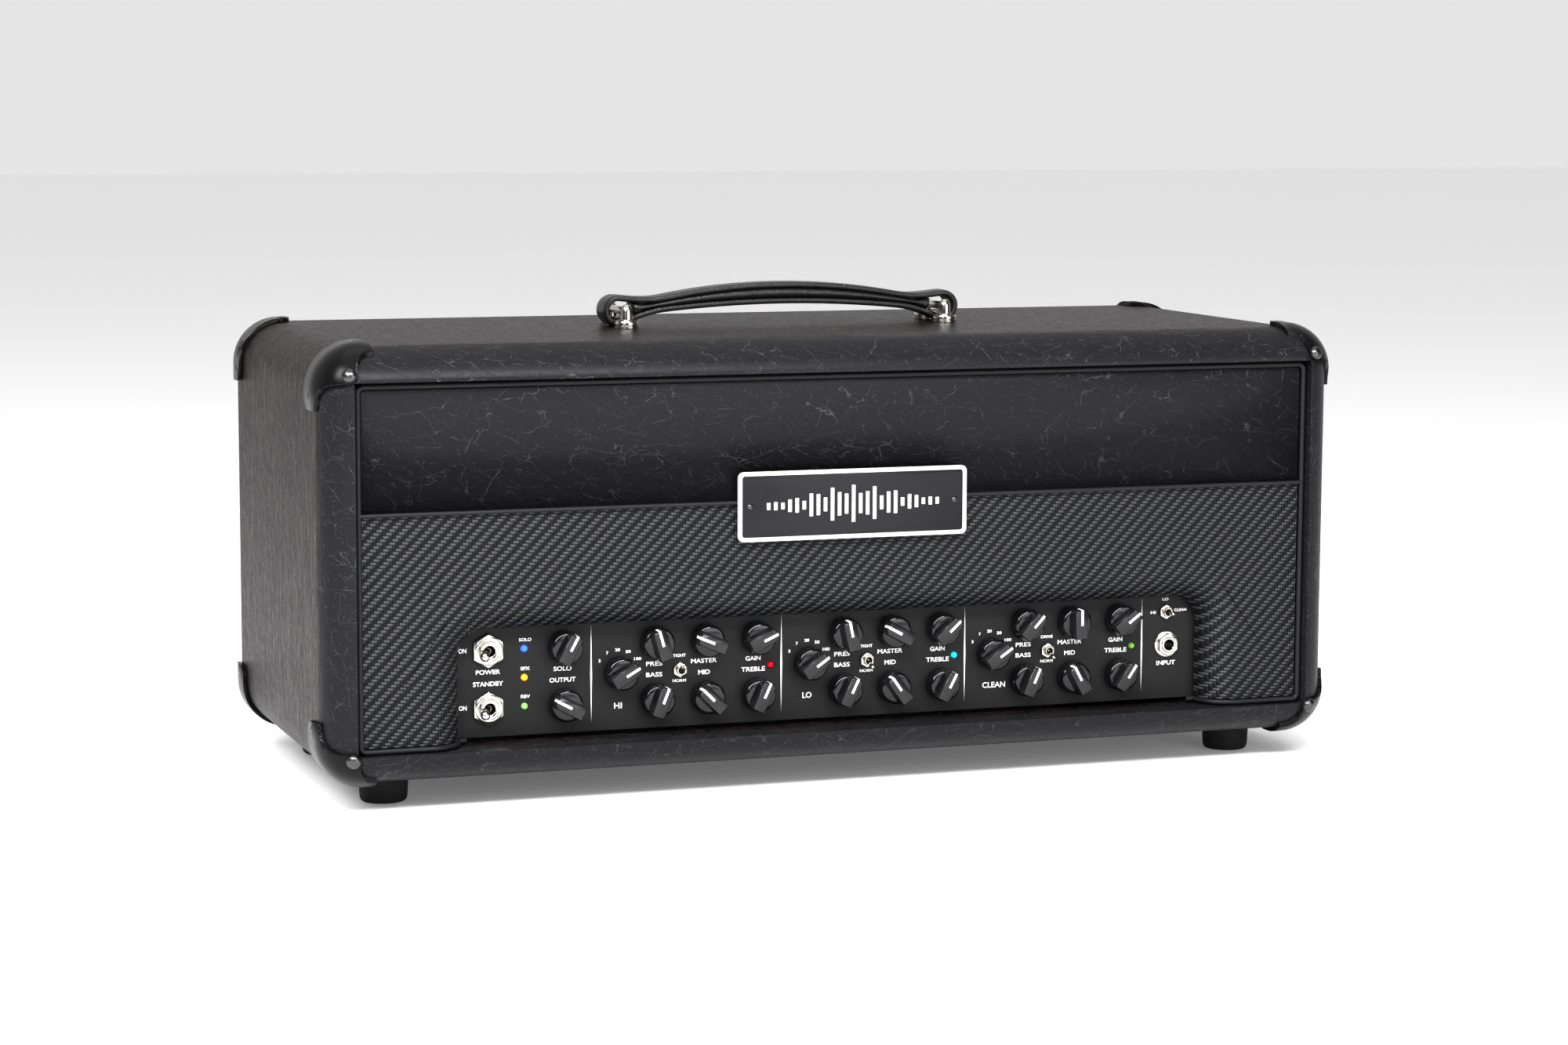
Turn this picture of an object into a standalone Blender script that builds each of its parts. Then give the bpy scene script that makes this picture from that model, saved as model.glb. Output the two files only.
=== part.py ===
"""Guitar amp head: a vinyl-covered ply cabinet with a control chassis, valves, transformers and a handle.

It stands on its feet at z = 0, centred on x and y. The front looks along -Y and +X is its right-hand side.
Sizes are in millimetres and become metres through MM.
"""
import math

import bmesh
import bpy
from mathutils import Matrix, Vector

MM = 0.001

# Cabinet
WIDTH = 631.8
DEPTH = 272.4
HEIGHT = 249.8
WALL = 18.0
TOP_WALL = 19.5
EDGE_RADIUS = 25.4
EDGE_STEPS = 5
BATTEN = 15.0
FOOT_HEIGHT = 17.6
GAP = 0.3

# Positions that follow from the cabinet
FRONT_Y = -DEPTH / 2
BACK_Y = DEPTH / 2
TOP_Z = FOOT_HEIGHT + HEIGHT
FLOOR_Z = FOOT_HEIGHT + WALL
CEILING_Z = TOP_Z - TOP_WALL

# Fascia: a board with an arch cut out at the bottom, its edge rolled back to the control panel
FASCIA_Y = FRONT_Y + 7.1
FASCIA_WIDTH = 593.6
FASCIA_HEIGHT = 210.6
FASCIA_BOTTOM = FOOT_HEIGHT + 18.6
FASCIA_CORNER = 5.0
BOARD_THICK = 12.0
PIPING_RADIUS = 1.6
PIPING_SEAT = 3.6
DIVIDER_HEIGHT = 136.4
DIVIDER_RADIUS = 1.3
ARCH_HALF = 234.3
ARCH_HEIGHT = 66.6
ARCH_CORNER = 16.0
ROLL_RADIUS = 19.0
ROLL_STEPS = 5
PIPING_TUCK = 229.0

# Badge
BADGE_SIZE = (143.0, 2.0, 41.0)
BADGE_HEIGHT = 134.0

# Chassis and control panel
PANEL_Y = FASCIA_Y + 22.0
CHASSIS_WIDTH = 480.0
CHASSIS_DEPTH = 226.0
CHASSIS_BOTTOM = FLOOR_Z + 3.2
CHASSIS_HEIGHT = 68.0
SHEET = 2.0
DECK_Z = CHASSIS_BOTTOM + CHASSIS_HEIGHT
REAR_PANEL_Y = PANEL_Y + CHASSIS_DEPTH

# Rows of controls, as heights above the bottom of the fascia
ROW_UPPER = FASCIA_BOTTOM + 53.2
ROW_MIDDLE = FASCIA_BOTTOM + 36.3
ROW_LOWER = FASCIA_BOTTOM + 19.4
ROW_SELECTOR = FASCIA_BOTTOM + 56.5

# Columns of controls
CHANNEL_PITCH = 117.5
CHANNEL_LEFT = -153.1
SWITCH_X = -215.3
LED_X = -193.3
OUTPUT_X = -169.6
INPUT_X = 216.0

# One channel's controls: name, offset from its left edge, row, and rest angles in the three channels
CHANNELS = ("hi", "lo", "clean")
CHANNEL_KNOBS = (
    ("selector", 17.3, ROW_MIDDLE, (60, 55, 56)),
    ("presence", 39.4, ROW_UPPER, (-16, -12, 42)),
    ("master", 70.4, ROW_UPPER, (-67, -61, 0)),
    ("gain", 101.9, ROW_UPPER, (66, 47, 53)),
    ("bass", 39.4, ROW_LOWER, (22, 26, 24)),
    ("mid", 70.4, ROW_LOWER, (-45, -35, -28)),
    ("treble", 101.9, ROW_LOWER, (25, 28, 34)),
)
MINI_OFFSET = 54.1
LED_OFFSET = 110.7
MINI_LEAN = 20.0
MINI_REST = (-1, 1, 1)
SWITCH_LEAN = 19.0

# Knobs
KNOB_RADIUS = 9.75
KNOB_LIFT = 0.8
KNOB_BODY = 8.6
KNOB_HEIGHT = 15.4
KNOB_BAR = 9.2
SHAFT_RADIUS = 3.0
SHAFT_FIT = 0.4
SHAFT_REACH = 8.0

# Handle
POST_X = 103.5
POST_Y = 16.2
POST_RADIUS = 3.3
POST_HEIGHT = 13.0
FLANGE_RADIUS = 6.3
FLANGE_HEIGHT = 3.6
PIN_RADIUS = 2.5
PIN_RISE = 9.9
STRAP_DEPTH = 19.0
STRAP_CREST = 26.2
STRAP_THICK = 13.4
STRAP_WAIST_X = 88.0
STRAP_SAG = 9.4
WAIST_THICK = 9.2
LOOP_X = 106.0
LOOP_RISE = 10.1
LOOP_OUTER = 9.6
LOOP_INNER = 6.0

# Corner protectors
GUARD_GAP = 0.3
GUARD_THICK = 1.8
GUARD_TOP = (31.0, 13.0)
GUARD_SIDE = (36.0, 16.0)
GUARD_DEPTH = 46.0
NOTCH_FORWARD = 4.0

# Feet
FOOT_X = 271.0
FOOT_Y = DEPTH / 2 - 56.5
FOOT_TOP_RADIUS = 14.7
FOOT_BASE_RADIUS = 13.6

# Valves and transformers
POWER_VALVES_X = (36.0, 84.0, 132.0, 180.0)
POWER_VALVES_Y = 52.0
PREAMP_VALVES_X = (14.0, 55.0, 96.0, 137.0, 178.0, 219.0)
PREAMP_VALVES_Y = -42.0
MAINS_TRANSFORMER = (-178.0, 22.0)
OUTPUT_TRANSFORMER = (-62.0, 28.0)

# Rear
JACKS_X = (-150.0, -122.0, -94.0, -40.0, -12.0, 16.0, 44.0, 90.0)
INLET_X = 190.0
INLET_SIZE = (27.0, 19.0)
REAR_ROW = CHASSIS_BOTTOM + 34.0

FACING_FRONT = math.radians(90)


def remove_old_objects():
    for old in list(bpy.data.objects):
        bpy.data.objects.remove(old, do_unlink=True)


def new_collection(name):
    collection = bpy.data.collections.new(name)
    bpy.context.scene.collection.children.link(collection)
    return collection


def new_material(name, colour, roughness, metallic=0.0, glow=0.0):
    material = bpy.data.materials.new(name)
    material.use_nodes = True
    shader = material.node_tree.nodes["Principled BSDF"]
    shader.inputs["Base Color"].default_value = (*colour, 1.0)
    shader.inputs["Roughness"].default_value = roughness
    shader.inputs["Metallic"].default_value = metallic
    shader.inputs["Emission Color"].default_value = (*colour, 1.0)
    shader.inputs["Emission Strength"].default_value = glow
    return material


def scaled(values):
    return Vector(values) * MM


def mesh_from(bm, name):
    bmesh.ops.recalc_face_normals(bm, faces=bm.faces)
    mesh = bpy.data.meshes.new(name)
    bm.to_mesh(mesh)
    bm.free()
    return mesh


def box_mesh(name, size, bevel=0.0, segments=1):
    """A box centred on its own origin, with rounded edges if a bevel is given."""
    bm = bmesh.new()
    bmesh.ops.create_cube(bm, size=1.0)
    bmesh.ops.scale(bm, vec=scaled(size), verts=bm.verts)
    if bevel:
        bmesh.ops.bevel(bm, geom=bm.edges, offset=bevel * MM, segments=segments, profile=0.5, affect="EDGES")
    return mesh_from(bm, name)


def rod_mesh(name, radius, length, sides=16):
    """A cylinder along +Z, standing on its own origin."""
    bm = bmesh.new()
    shift = Matrix.Translation((0, 0, length * MM / 2))
    bmesh.ops.create_cone(bm, cap_ends=True, segments=sides, radius1=radius * MM, radius2=radius * MM,
                          depth=length * MM, matrix=shift)
    return mesh_from(bm, name)


def turned_mesh(name, profile, steps):
    """A turned shape about Z: the profile's (radius, height) points run down its outer side."""
    mesh = bpy.data.meshes.new(name)
    points = [scaled((radius, 0, height)) for radius, height in profile]
    mesh.from_pydata(points, [(i, i + 1) for i in range(len(points) - 1)], [])
    profile_object = bpy.data.objects.new(name, mesh)
    bpy.context.scene.collection.objects.link(profile_object)
    screw = profile_object.modifiers.new("turn", "SCREW")
    screw.steps = steps
    screw.render_steps = steps
    screw.use_merge_vertices = True
    screw.merge_threshold = 0.000001
    turned = evaluated_mesh(profile_object)
    bpy.data.objects.remove(profile_object, do_unlink=True)
    bm = bmesh.new()
    bm.from_mesh(turned)
    bmesh.ops.remove_doubles(bm, verts=bm.verts, dist=0.000001)
    return mesh_from(bm, name)


def evaluated_mesh(source):
    graph = bpy.context.evaluated_depsgraph_get()
    return bpy.data.meshes.new_from_object(source.evaluated_get(graph))


def curve_mesh(name, curve, matrix=None):
    """The closed mesh of a curve, with its caps welded on."""
    holder = bpy.data.objects.new(name, curve)
    bpy.context.scene.collection.objects.link(holder)
    bpy.context.view_layer.update()
    mesh = evaluated_mesh(holder)
    bpy.data.objects.remove(holder, do_unlink=True)
    bm = bmesh.new()
    bm.from_mesh(mesh)
    bmesh.ops.remove_doubles(bm, verts=bm.verts, dist=0.000001)
    if matrix is not None:
        bmesh.ops.transform(bm, matrix=matrix, verts=bm.verts)
    return mesh_from(bm, name)


def outline_mesh(name, outlines, thickness, y_front):
    """A plate in the X-Z plane. Outlines hold (x, z) points: the outside first, then any holes."""
    curve = bpy.data.curves.new(name, "CURVE")
    curve.dimensions = "2D"
    curve.fill_mode = "BOTH"
    curve.render_resolution_u = 0
    curve.extrude = thickness * MM / 2
    for outline in outlines:
        spline = curve.splines.new("POLY")
        spline.points.add(len(outline) - 1)
        spline.use_cyclic_u = True
        for point, (x, z) in zip(spline.points, outline):
            point.co = (x * MM, z * MM, 0, 1)
    stand = Matrix.Translation((0, (y_front + thickness / 2) * MM, 0)) @ Matrix.Rotation(FACING_FRONT, 4, "X")
    return curve_mesh(name, curve, stand)


def tube_mesh(name, path, radius, cyclic=False):
    """A round tube along a list of (x, y, z) points."""
    curve = bpy.data.curves.new(name, "CURVE")
    curve.dimensions = "3D"
    curve.render_resolution_u = 0
    curve.bevel_depth = radius * MM
    curve.bevel_resolution = 1
    curve.use_fill_caps = True
    spline = curve.splines.new("POLY")
    spline.points.add(len(path) - 1)
    spline.use_cyclic_u = cyclic
    for point, place in zip(spline.points, path):
        point.co = (*scaled(place), 1)
    return curve_mesh(name, curve)


def arc(centre, radius, start, end, steps):
    """Points on an arc from the start angle to the end angle, in degrees."""
    points = []
    for step in range(steps + 1):
        angle = math.radians(start + (end - start) * step / steps)
        points.append((centre[0] + radius * math.cos(angle), centre[1] + radius * math.sin(angle)))
    return points


def rounded_outline(half_width, bottom, top, radius, steps=3):
    """A rectangle with round corners, anticlockwise from its bottom right."""
    x, low, high = half_width - radius, bottom + radius, top - radius
    return (arc((x, low), radius, -90, 0, steps) + arc((x, high), radius, 0, 90, steps)
            + arc((-x, high), radius, 90, 180, steps) + arc((-x, low), radius, 180, 270, steps))


def merged_mesh(name, pieces):
    """Several meshes, each with its matrix, in one mesh of separate bodies."""
    bm = bmesh.new()
    for mesh, matrix in pieces:
        copy = mesh.copy()
        copy.transform(matrix)
        bm.from_mesh(copy)
        bpy.data.meshes.remove(copy)
    return mesh_from(bm, name)


def at(x, y, z, rotation=None):
    """A matrix that places a mesh, in millimetres, after an optional rotation."""
    place = Matrix.Translation(scaled((x, y, z)))
    return place if rotation is None else place @ rotation


TO_FRONT = Matrix.Rotation(FACING_FRONT, 4, "X")
TO_BACK = Matrix.Rotation(-FACING_FRONT, 4, "X")


def add_part(name, mesh, material, location=(0, 0, 0), rotation=(0, 0, 0)):
    part = bpy.data.objects.new(name, mesh)
    PARTS.objects.link(part)
    mesh.materials.clear()
    mesh.materials.append(material)
    mesh.shade_smooth()
    mesh.set_sharp_from_angle(angle=math.radians(30))
    part.location = scaled(location)
    part.rotation_euler = rotation
    return part


def shape_with(part, mesh, operation, matrix=None):
    """Cuts, joins or trims a part with a mesh given in world coordinates."""
    tool = bpy.data.objects.new(f"{part.name}_{operation.lower()}", mesh)
    CUTTERS.objects.link(tool)
    tool.matrix_world = matrix if matrix is not None else Matrix.Identity(4)
    tool.hide_render = True
    tool.display_type = "WIRE"
    boolean = part.modifiers.new(operation.lower(), "BOOLEAN")
    boolean.operation = operation
    boolean.solver = "EXACT"
    boolean.object = tool


def channel_left(index):
    return CHANNEL_LEFT + index * CHANNEL_PITCH


def knob_places():
    """Every knob as (name, x, z, rest angle clockwise from upright)."""
    places = [("solo_knob", OUTPUT_X, ROW_UPPER, 29), ("output_knob", OUTPUT_X, ROW_LOWER, -61)]
    for index, channel in enumerate(CHANNELS):
        for control, offset, row, angles in CHANNEL_KNOBS:
            places.append((f"{channel}_{control}_knob", channel_left(index) + offset, row, angles[index]))
    return places


def mini_places():
    """Every miniature toggle as (name, x, z)."""
    places = [(f"{channel}_voice_lever", channel_left(index) + MINI_OFFSET, ROW_MIDDLE)
              for index, channel in enumerate(CHANNELS)]
    places.append(("channel_lever", INPUT_X - 0.8, ROW_SELECTOR))
    return places


def led_places():
    places = [(LED_X, row) for row in (ROW_UPPER, ROW_MIDDLE, ROW_LOWER)]
    for index in range(len(CHANNELS)):
        places.append((channel_left(index) + LED_OFFSET, ROW_MIDDLE))
    return places


def make_cabinet():
    mesh = box_mesh("cabinet_shell", (WIDTH, DEPTH, HEIGHT), EDGE_RADIUS, EDGE_STEPS)
    cabinet = add_part("cabinet_shell", mesh, VINYL, (0, 0, FOOT_HEIGHT + HEIGHT / 2))
    clear_height = CEILING_Z - FLOOR_Z
    middle_z = (CEILING_Z + FLOOR_Z) / 2
    tunnel = box_mesh("tunnel", (WIDTH - 2 * WALL, DEPTH + 20, clear_height))
    shape_with(cabinet, tunnel, "DIFFERENCE", at(0, 0, middle_z))
    for y in (FASCIA_Y + 1.0 + BOARD_THICK + GAP + BATTEN / 2, REAR_PANEL_Y - SHEET - GAP - BATTEN / 2):
        for side in (-1, 1):
            upright = box_mesh("upright", (BATTEN, BATTEN, clear_height + 2))
            x = side * (WIDTH / 2 - WALL - BATTEN / 2 + 1)
            shape_with(cabinet, upright, "UNION", at(x, y, middle_z))
        crossbar = box_mesh("crossbar", (WIDTH - 2 * WALL - 2 * BATTEN + 6, BATTEN, BATTEN))
        shape_with(cabinet, crossbar, "UNION", at(0, y, CEILING_Z - BATTEN / 2 + 1))


def arch_path(half, height, corner, steps=6):
    """The arch from its bottom left, over the top and down to its bottom right, as (x, z)."""
    base = FASCIA_BOTTOM + PIPING_SEAT
    top = FASCIA_BOTTOM + height
    left = arc((-half + corner, top - corner), corner, 180, 90, steps)
    right = arc((half - corner, top - corner), corner, 90, 0, steps)
    return [(-half, base)] + left + right + [(half, base)]


def make_fascia_board():
    front = FASCIA_Y + 1.0
    depth = ROLL_RADIUS + 0.5
    half = FASCIA_WIDTH / 2 - PIPING_SEAT
    top = FASCIA_BOTTOM + FASCIA_HEIGHT - PIPING_SEAT
    base = FASCIA_BOTTOM + PIPING_SEAT
    sides = arc((half - 2, top - 2), 2, 0, 90, 2) + arc((-half + 2, top - 2), 2, 90, 180, 2)
    arch = arch_path(ARCH_HALF, ARCH_HEIGHT, ARCH_CORNER)
    mesh = outline_mesh("fascia_board", [[(half, base)] + sides + [(-half, base)] + arch], depth, front)
    roll_arch_edge(mesh, arch, front)
    board = add_part("fascia_board", mesh, WEAVE)
    thin = depth - BOARD_THICK
    rib = ARCH_HALF + ROLL_RADIUS + 6
    pocket_y = front + BOARD_THICK + thin / 2 + 5
    for name, x, z, width, height in (
            ("left", -rib - 40, 0, 80, 400),
            ("right", rib + 40, 0, 80, 400),
            ("top", 0, FASCIA_BOTTOM + ARCH_HEIGHT + ROLL_RADIUS + 106, 700, 200)):
        pocket = box_mesh(f"pocket_{name}", (width, thin + 10, height))
        shape_with(board, pocket, "DIFFERENCE", at(x, pocket_y, z))


def roll_arch_edge(mesh, arch, front):
    """Rounds the front edge of the arch, whose points are (x, z)."""
    bm = bmesh.new()
    bm.from_mesh(mesh)
    corners = [Vector((x * MM, front * MM, z * MM)) for x, z in arch]
    on_arch = [v for v in bm.verts if any((v.co - corner).length < 0.00001 for corner in corners)]
    chosen = set(on_arch)
    base = (FASCIA_BOTTOM + PIPING_SEAT) * MM
    edges = [e for e in bm.edges if set(e.verts) <= chosen and len(e.link_faces) == 2
             and abs(e.calc_face_angle(0.0)) > 1.0 and (e.verts[0].co + e.verts[1].co).z / 2 > base + 0.00001]
    bmesh.ops.bevel(bm, geom=edges, offset=ROLL_RADIUS * MM, segments=ROLL_STEPS, profile=0.5, affect="EDGES")
    bmesh.ops.recalc_face_normals(bm, faces=bm.faces)
    bm.to_mesh(mesh)
    bm.free()


def piping_path():
    """The beading round the fascia, which follows the roll back at both ends, as (x, y, z)."""
    inset = PIPING_RADIUS
    half = FASCIA_WIDTH / 2 - inset
    low = FASCIA_BOTTOM + inset
    high = FASCIA_BOTTOM + FASCIA_HEIGHT - inset
    corner = FASCIA_CORNER - inset
    roll_x = ARCH_HALF + ROLL_RADIUS
    roll = arc((roll_x, ROLL_RADIUS), ROLL_RADIUS, 180, 270, 6)
    left_roll = [(-x, FASCIA_Y + y, low) for x, y in roll]
    right_roll = [(x, FASCIA_Y + y, low) for x, y in roll]
    edge = (arc((-half + corner, low + corner), corner, 270, 180, 3)
            + arc((-half + corner, high - corner), corner, 180, 90, 3)
            + arc((half - corner, high - corner), corner, 90, 0, 3)
            + arc((half - corner, low + corner), corner, 0, -90, 3))
    tuck_left = [(-PIPING_TUCK, FASCIA_Y + ROLL_RADIUS + 0.8, low)]
    tuck_right = [(PIPING_TUCK, FASCIA_Y + ROLL_RADIUS + 0.8, low)]
    return tuck_left + left_roll + [(x, FASCIA_Y, z) for x, z in edge] + right_roll[::-1] + tuck_right


def make_fascia_piping():
    piping = add_part("fascia_piping", tube_mesh("fascia_piping", piping_path(), PIPING_RADIUS), PIPING)
    half = FASCIA_WIDTH / 2 - PIPING_RADIUS
    seam_z = FASCIA_BOTTOM + DIVIDER_HEIGHT
    seam_y = FASCIA_Y + 1.0 - DIVIDER_RADIUS - GAP
    divider = tube_mesh("divider", [(-half, seam_y, seam_z), (half, seam_y, seam_z)], DIVIDER_RADIUS)
    shape_with(piping, divider, "UNION")


def make_badge():
    width, thick, height = BADGE_SIZE
    outline = rounded_outline(width / 2, -height / 2, height / 2, 3)
    back = FASCIA_Y + 1.0 - 2 * DIVIDER_RADIUS - 2 * GAP
    mesh = outline_mesh("badge_plate", [outline], thick, -thick / 2)
    add_part("badge_plate", mesh, BADGE, (0, back - thick / 2, FASCIA_BOTTOM + BADGE_HEIGHT))


def guard_outline(reach, radius):
    """What one leg of a guard covers, as (along the cabinet, back from its front) points."""
    depth = GUARD_DEPTH
    notch_centre = (reach, -NOTCH_FORWARD)
    start = 180 - math.degrees(math.asin(NOTCH_FORWARD / radius))
    notch = arc(notch_centre, radius, start, 90, 6)
    tip = arc((reach - 12, depth - 12), 12, 0, 90, 3)
    return [(-6, -6), (notch[0][0], -6)] + notch + tip + [(-6, depth)]


def guard_mesh():
    """The guard of the front top left corner, with its own origin at the cabinet's sharp corner."""
    outer = GUARD_GAP + GUARD_THICK
    size = 200.0
    radius = EDGE_RADIUS + outer
    block = box_mesh("guard_shell", (size + 2 * outer,) * 3, radius, EDGE_STEPS)
    shell = bpy.data.objects.new("guard_shell", block)
    CUTTERS.objects.link(shell)
    shell.hide_render = True
    shell.display_type = "WIRE"
    middle = at(size / 2, size / 2, -size / 2)
    shell.matrix_world = middle
    hollow = box_mesh("guard_hollow", (size + 2 * GUARD_GAP,) * 3, EDGE_RADIUS + GUARD_GAP, EDGE_STEPS)
    shape_with(shell, hollow, "DIFFERENCE", middle)
    span = 80.0
    flat = outline_mesh("guard_top", [guard_outline(*GUARD_TOP)], span, -span / 2)
    along_top = Matrix.Rotation(-FACING_FRONT, 4, "X")
    shape_with(shell, flat, "INTERSECT", along_top)
    side = outline_mesh("guard_side", [guard_outline(*GUARD_SIDE)], span, -span / 2)
    down_side = Matrix(((0, 1, 0, 0), (0, 0, 1, 0), (-1, 0, 0, 0), (0, 0, 0, 1)))
    shape_with(shell, side, "INTERSECT", down_side)
    bpy.context.view_layer.update()
    mesh = evaluated_mesh(shell)
    mesh.transform(middle)
    return mesh


def make_guards():
    pattern = guard_mesh()
    for high, z_name in ((True, "top"), (False, "bottom")):
        for front, y_name in ((True, "front"), (False, "rear")):
            for left, x_name in ((True, "left"), (False, "right")):
                name = f"{z_name}_{y_name}_{x_name}_guard"
                mirror = Matrix.Diagonal((1 if left else -1, 1 if front else -1, 1 if high else -1, 1))
                bm = bmesh.new()
                bm.from_mesh(pattern)
                bmesh.ops.transform(bm, matrix=mirror, verts=bm.verts)
                corner = (-WIDTH / 2 if left else WIDTH / 2, FRONT_Y if front else BACK_Y,
                          TOP_Z if high else FOOT_HEIGHT)
                add_part(name, mesh_from(bm, name), GUARD, corner)


def make_feet():
    for front, y in (("front", -FOOT_Y), ("rear", FOOT_Y)):
        for side, x in (("left", -FOOT_X), ("right", FOOT_X)):
            mesh = turned_mesh(f"{front}_{side}_foot", (
                (0, FOOT_HEIGHT - GAP), (FOOT_TOP_RADIUS, FOOT_HEIGHT - GAP),
                (FOOT_BASE_RADIUS + 0.2, 1.6), (FOOT_BASE_RADIUS - 1.2, 0), (0, 0)), 24)
            add_part(f"{front}_{side}_foot", mesh, RUBBER, (x, y, 0))


def make_handle_mounts():
    base = TOP_Z + GAP
    post = turned_mesh("post", (
        (0, POST_HEIGHT), (POST_RADIUS * 0.7, POST_HEIGHT - 0.8), (POST_RADIUS, POST_HEIGHT - 2.6),
        (POST_RADIUS, FLANGE_HEIGHT), (FLANGE_RADIUS - 0.6, FLANGE_HEIGHT),
        (FLANGE_RADIUS, FLANGE_HEIGHT - 0.8), (FLANGE_RADIUS, 0), (0, 0)), 16)
    for side, x in (("left", -POST_X), ("right", POST_X)):
        mount = add_part(f"{side}_handle_mount", post.copy(), CHROME, (x, -POST_Y, base))
        shape_with(mount, post.copy(), "UNION", at(x, POST_Y, base))
        pin = rod_mesh("pin", PIN_RADIUS, 2 * POST_Y, 12)
        shape_with(mount, pin, "UNION", at(x, POST_Y, base + PIN_RISE, TO_FRONT))


def strap_edge(x, crest, waist):
    """Height of an edge of the strap: an arch that falls from the crest to the waist."""
    return crest - (crest - waist) * (x / STRAP_WAIST_X) ** 2


def strap_outline():
    """The strap seen from the front, as (x, z) above the cabinet's top."""
    loop = (LOOP_X, LOOP_RISE)
    top_waist = STRAP_CREST - STRAP_SAG
    bottom_waist = top_waist - WAIST_THICK
    stations = [STRAP_WAIST_X * (1 - 2 * i / 16) for i in range(17)]
    upper = [(x, strap_edge(x, STRAP_CREST, top_waist)) for x in stations]
    lower = [(x, strap_edge(x, STRAP_CREST - STRAP_THICK, bottom_waist)) for x in reversed(stations)]
    left = [(-x, z) for x, z in arc(loop, LOOP_OUTER, 110, -140, 16)]
    right = arc(loop, LOOP_OUTER, -140, 110, 16)
    return upper + left + lower + right


def make_handle_strap():
    outline = strap_outline()
    holes = [[(side * (LOOP_X + x), LOOP_RISE + z) for x, z in arc((0, 0), LOOP_INNER, 0, 345, 23)]
             for side in (-1, 1)]
    mesh = outline_mesh("handle_strap", [outline] + holes, STRAP_DEPTH, -STRAP_DEPTH / 2)
    add_part("handle_strap", mesh, LEATHER, (0, 0, TOP_Z))


def panel_cutters():
    """The holes in the front of the chassis, as one mesh of rods that run through it."""
    rods = []

    def hole(x, z, radius, sides=12):
        rods.append((rod_mesh("hole", radius, SHEET + 6, sides), at(x, PANEL_Y + SHEET + 3, z, TO_FRONT)))

    for _, x, z, _ in knob_places():
        hole(x, z, SHAFT_RADIUS + 0.8, 8)
    for _, x, z in mini_places():
        hole(x, z, 3.5)
    for x, z in led_places():
        hole(x, z, 2.4, 8)
    for z in (ROW_UPPER, ROW_LOWER):
        hole(SWITCH_X, z, 6.4)
    hole(INPUT_X, ROW_MIDDLE, 5.2)
    return merged_mesh("panel_holes", rods)


def rear_cutters():
    hole = rod_mesh("hole", 5.2, SHEET + 6, 12)
    rods = [(hole, at(x, REAR_PANEL_Y + 3, REAR_ROW, TO_FRONT)) for x in JACKS_X]
    slot = box_mesh("inlet_hole", (INLET_SIZE[0] + 1, SHEET + 8, INLET_SIZE[1] + 1))
    rods.append((slot, at(INLET_X, REAR_PANEL_Y - SHEET / 2, REAR_ROW)))
    return merged_mesh("rear_holes", rods)


def make_chassis():
    middle_y = PANEL_Y + CHASSIS_DEPTH / 2
    mesh = box_mesh("chassis", (CHASSIS_WIDTH, CHASSIS_DEPTH, CHASSIS_HEIGHT))
    chassis = add_part("chassis", mesh, PANEL, (0, middle_y, CHASSIS_BOTTOM + CHASSIS_HEIGHT / 2))
    hollow = box_mesh("hollow", (CHASSIS_WIDTH - 2 * SHEET, CHASSIS_DEPTH - 2 * SHEET, CHASSIS_HEIGHT))
    shape_with(chassis, hollow, "DIFFERENCE", at(0, middle_y, CHASSIS_BOTTOM + CHASSIS_HEIGHT / 2 - SHEET))
    shape_with(chassis, panel_cutters(), "DIFFERENCE")
    shape_with(chassis, rear_cutters(), "DIFFERENCE")


def pot_mesh():
    """A potentiometer along +Z from the back of its case to the end of its shaft."""
    return turned_mesh("pot", (
        (0, 10 + SHEET + KNOB_LIFT + SHAFT_REACH), (SHAFT_RADIUS, 10 + SHEET + KNOB_LIFT + SHAFT_REACH),
        (SHAFT_RADIUS, 8.5), (7.5, 8.5), (7.5, -0.5), (0, -0.5)), 8)


def mini_body_mesh():
    """A miniature toggle's case, bushing and nut along +Z, with a bore for its lever."""
    nut = 10 + SHEET + GAP
    return turned_mesh("mini_body", (
        (0, nut + 1.4), (1.95, nut + 1.4), (1.95, nut + 4.4), (3.1, nut + 4.4), (3.1, nut + 1.8),
        (4.5, nut + 1.8), (4.5, nut), (3.1, nut), (3.1, 9), (5.5, 9), (5.5, -0.5), (0, -0.5)), 12)


def led_mesh():
    """A lamp and its lens along +Z."""
    front = 10 + SHEET
    return turned_mesh("led", (
        (0, front + 1.7), (1.4, front + 1.2), (1.95, front), (1.95, -0.5), (0, -0.5)), 8)


def make_control_board():
    board_y = PANEL_Y + SHEET + 10.0
    thick = 1.6
    left, right, tab = -200.0, 204.0, 226.0
    low = CHASSIS_BOTTOM + 5
    high = DECK_Z - 5
    mesh = box_mesh("control_board", (right - left, thick, high - low))
    middle = ((left + right) / 2, board_y + thick / 2, (low + high) / 2)
    board = add_part("control_board", mesh, CIRCUIT, middle)
    tab_low = ROW_SELECTOR - 7
    tab_mesh = box_mesh("board_tab", (tab - right + 4, thick, high - tab_low))
    shape_with(board, tab_mesh, "UNION", at((tab + right) / 2 - 2, board_y + thick / 2, (high + tab_low) / 2))
    pot, mini, led = pot_mesh(), mini_body_mesh(), led_mesh()
    pieces = [(pot, at(x, board_y, z, TO_FRONT)) for _, x, z, _ in knob_places()]
    pieces += [(mini, at(x, board_y, z, TO_FRONT)) for _, x, z in mini_places()]
    pieces += [(led, at(x, board_y, z, TO_FRONT)) for x, z in led_places()]
    shape_with(board, merged_mesh("board_pieces", pieces), "UNION")


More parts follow.
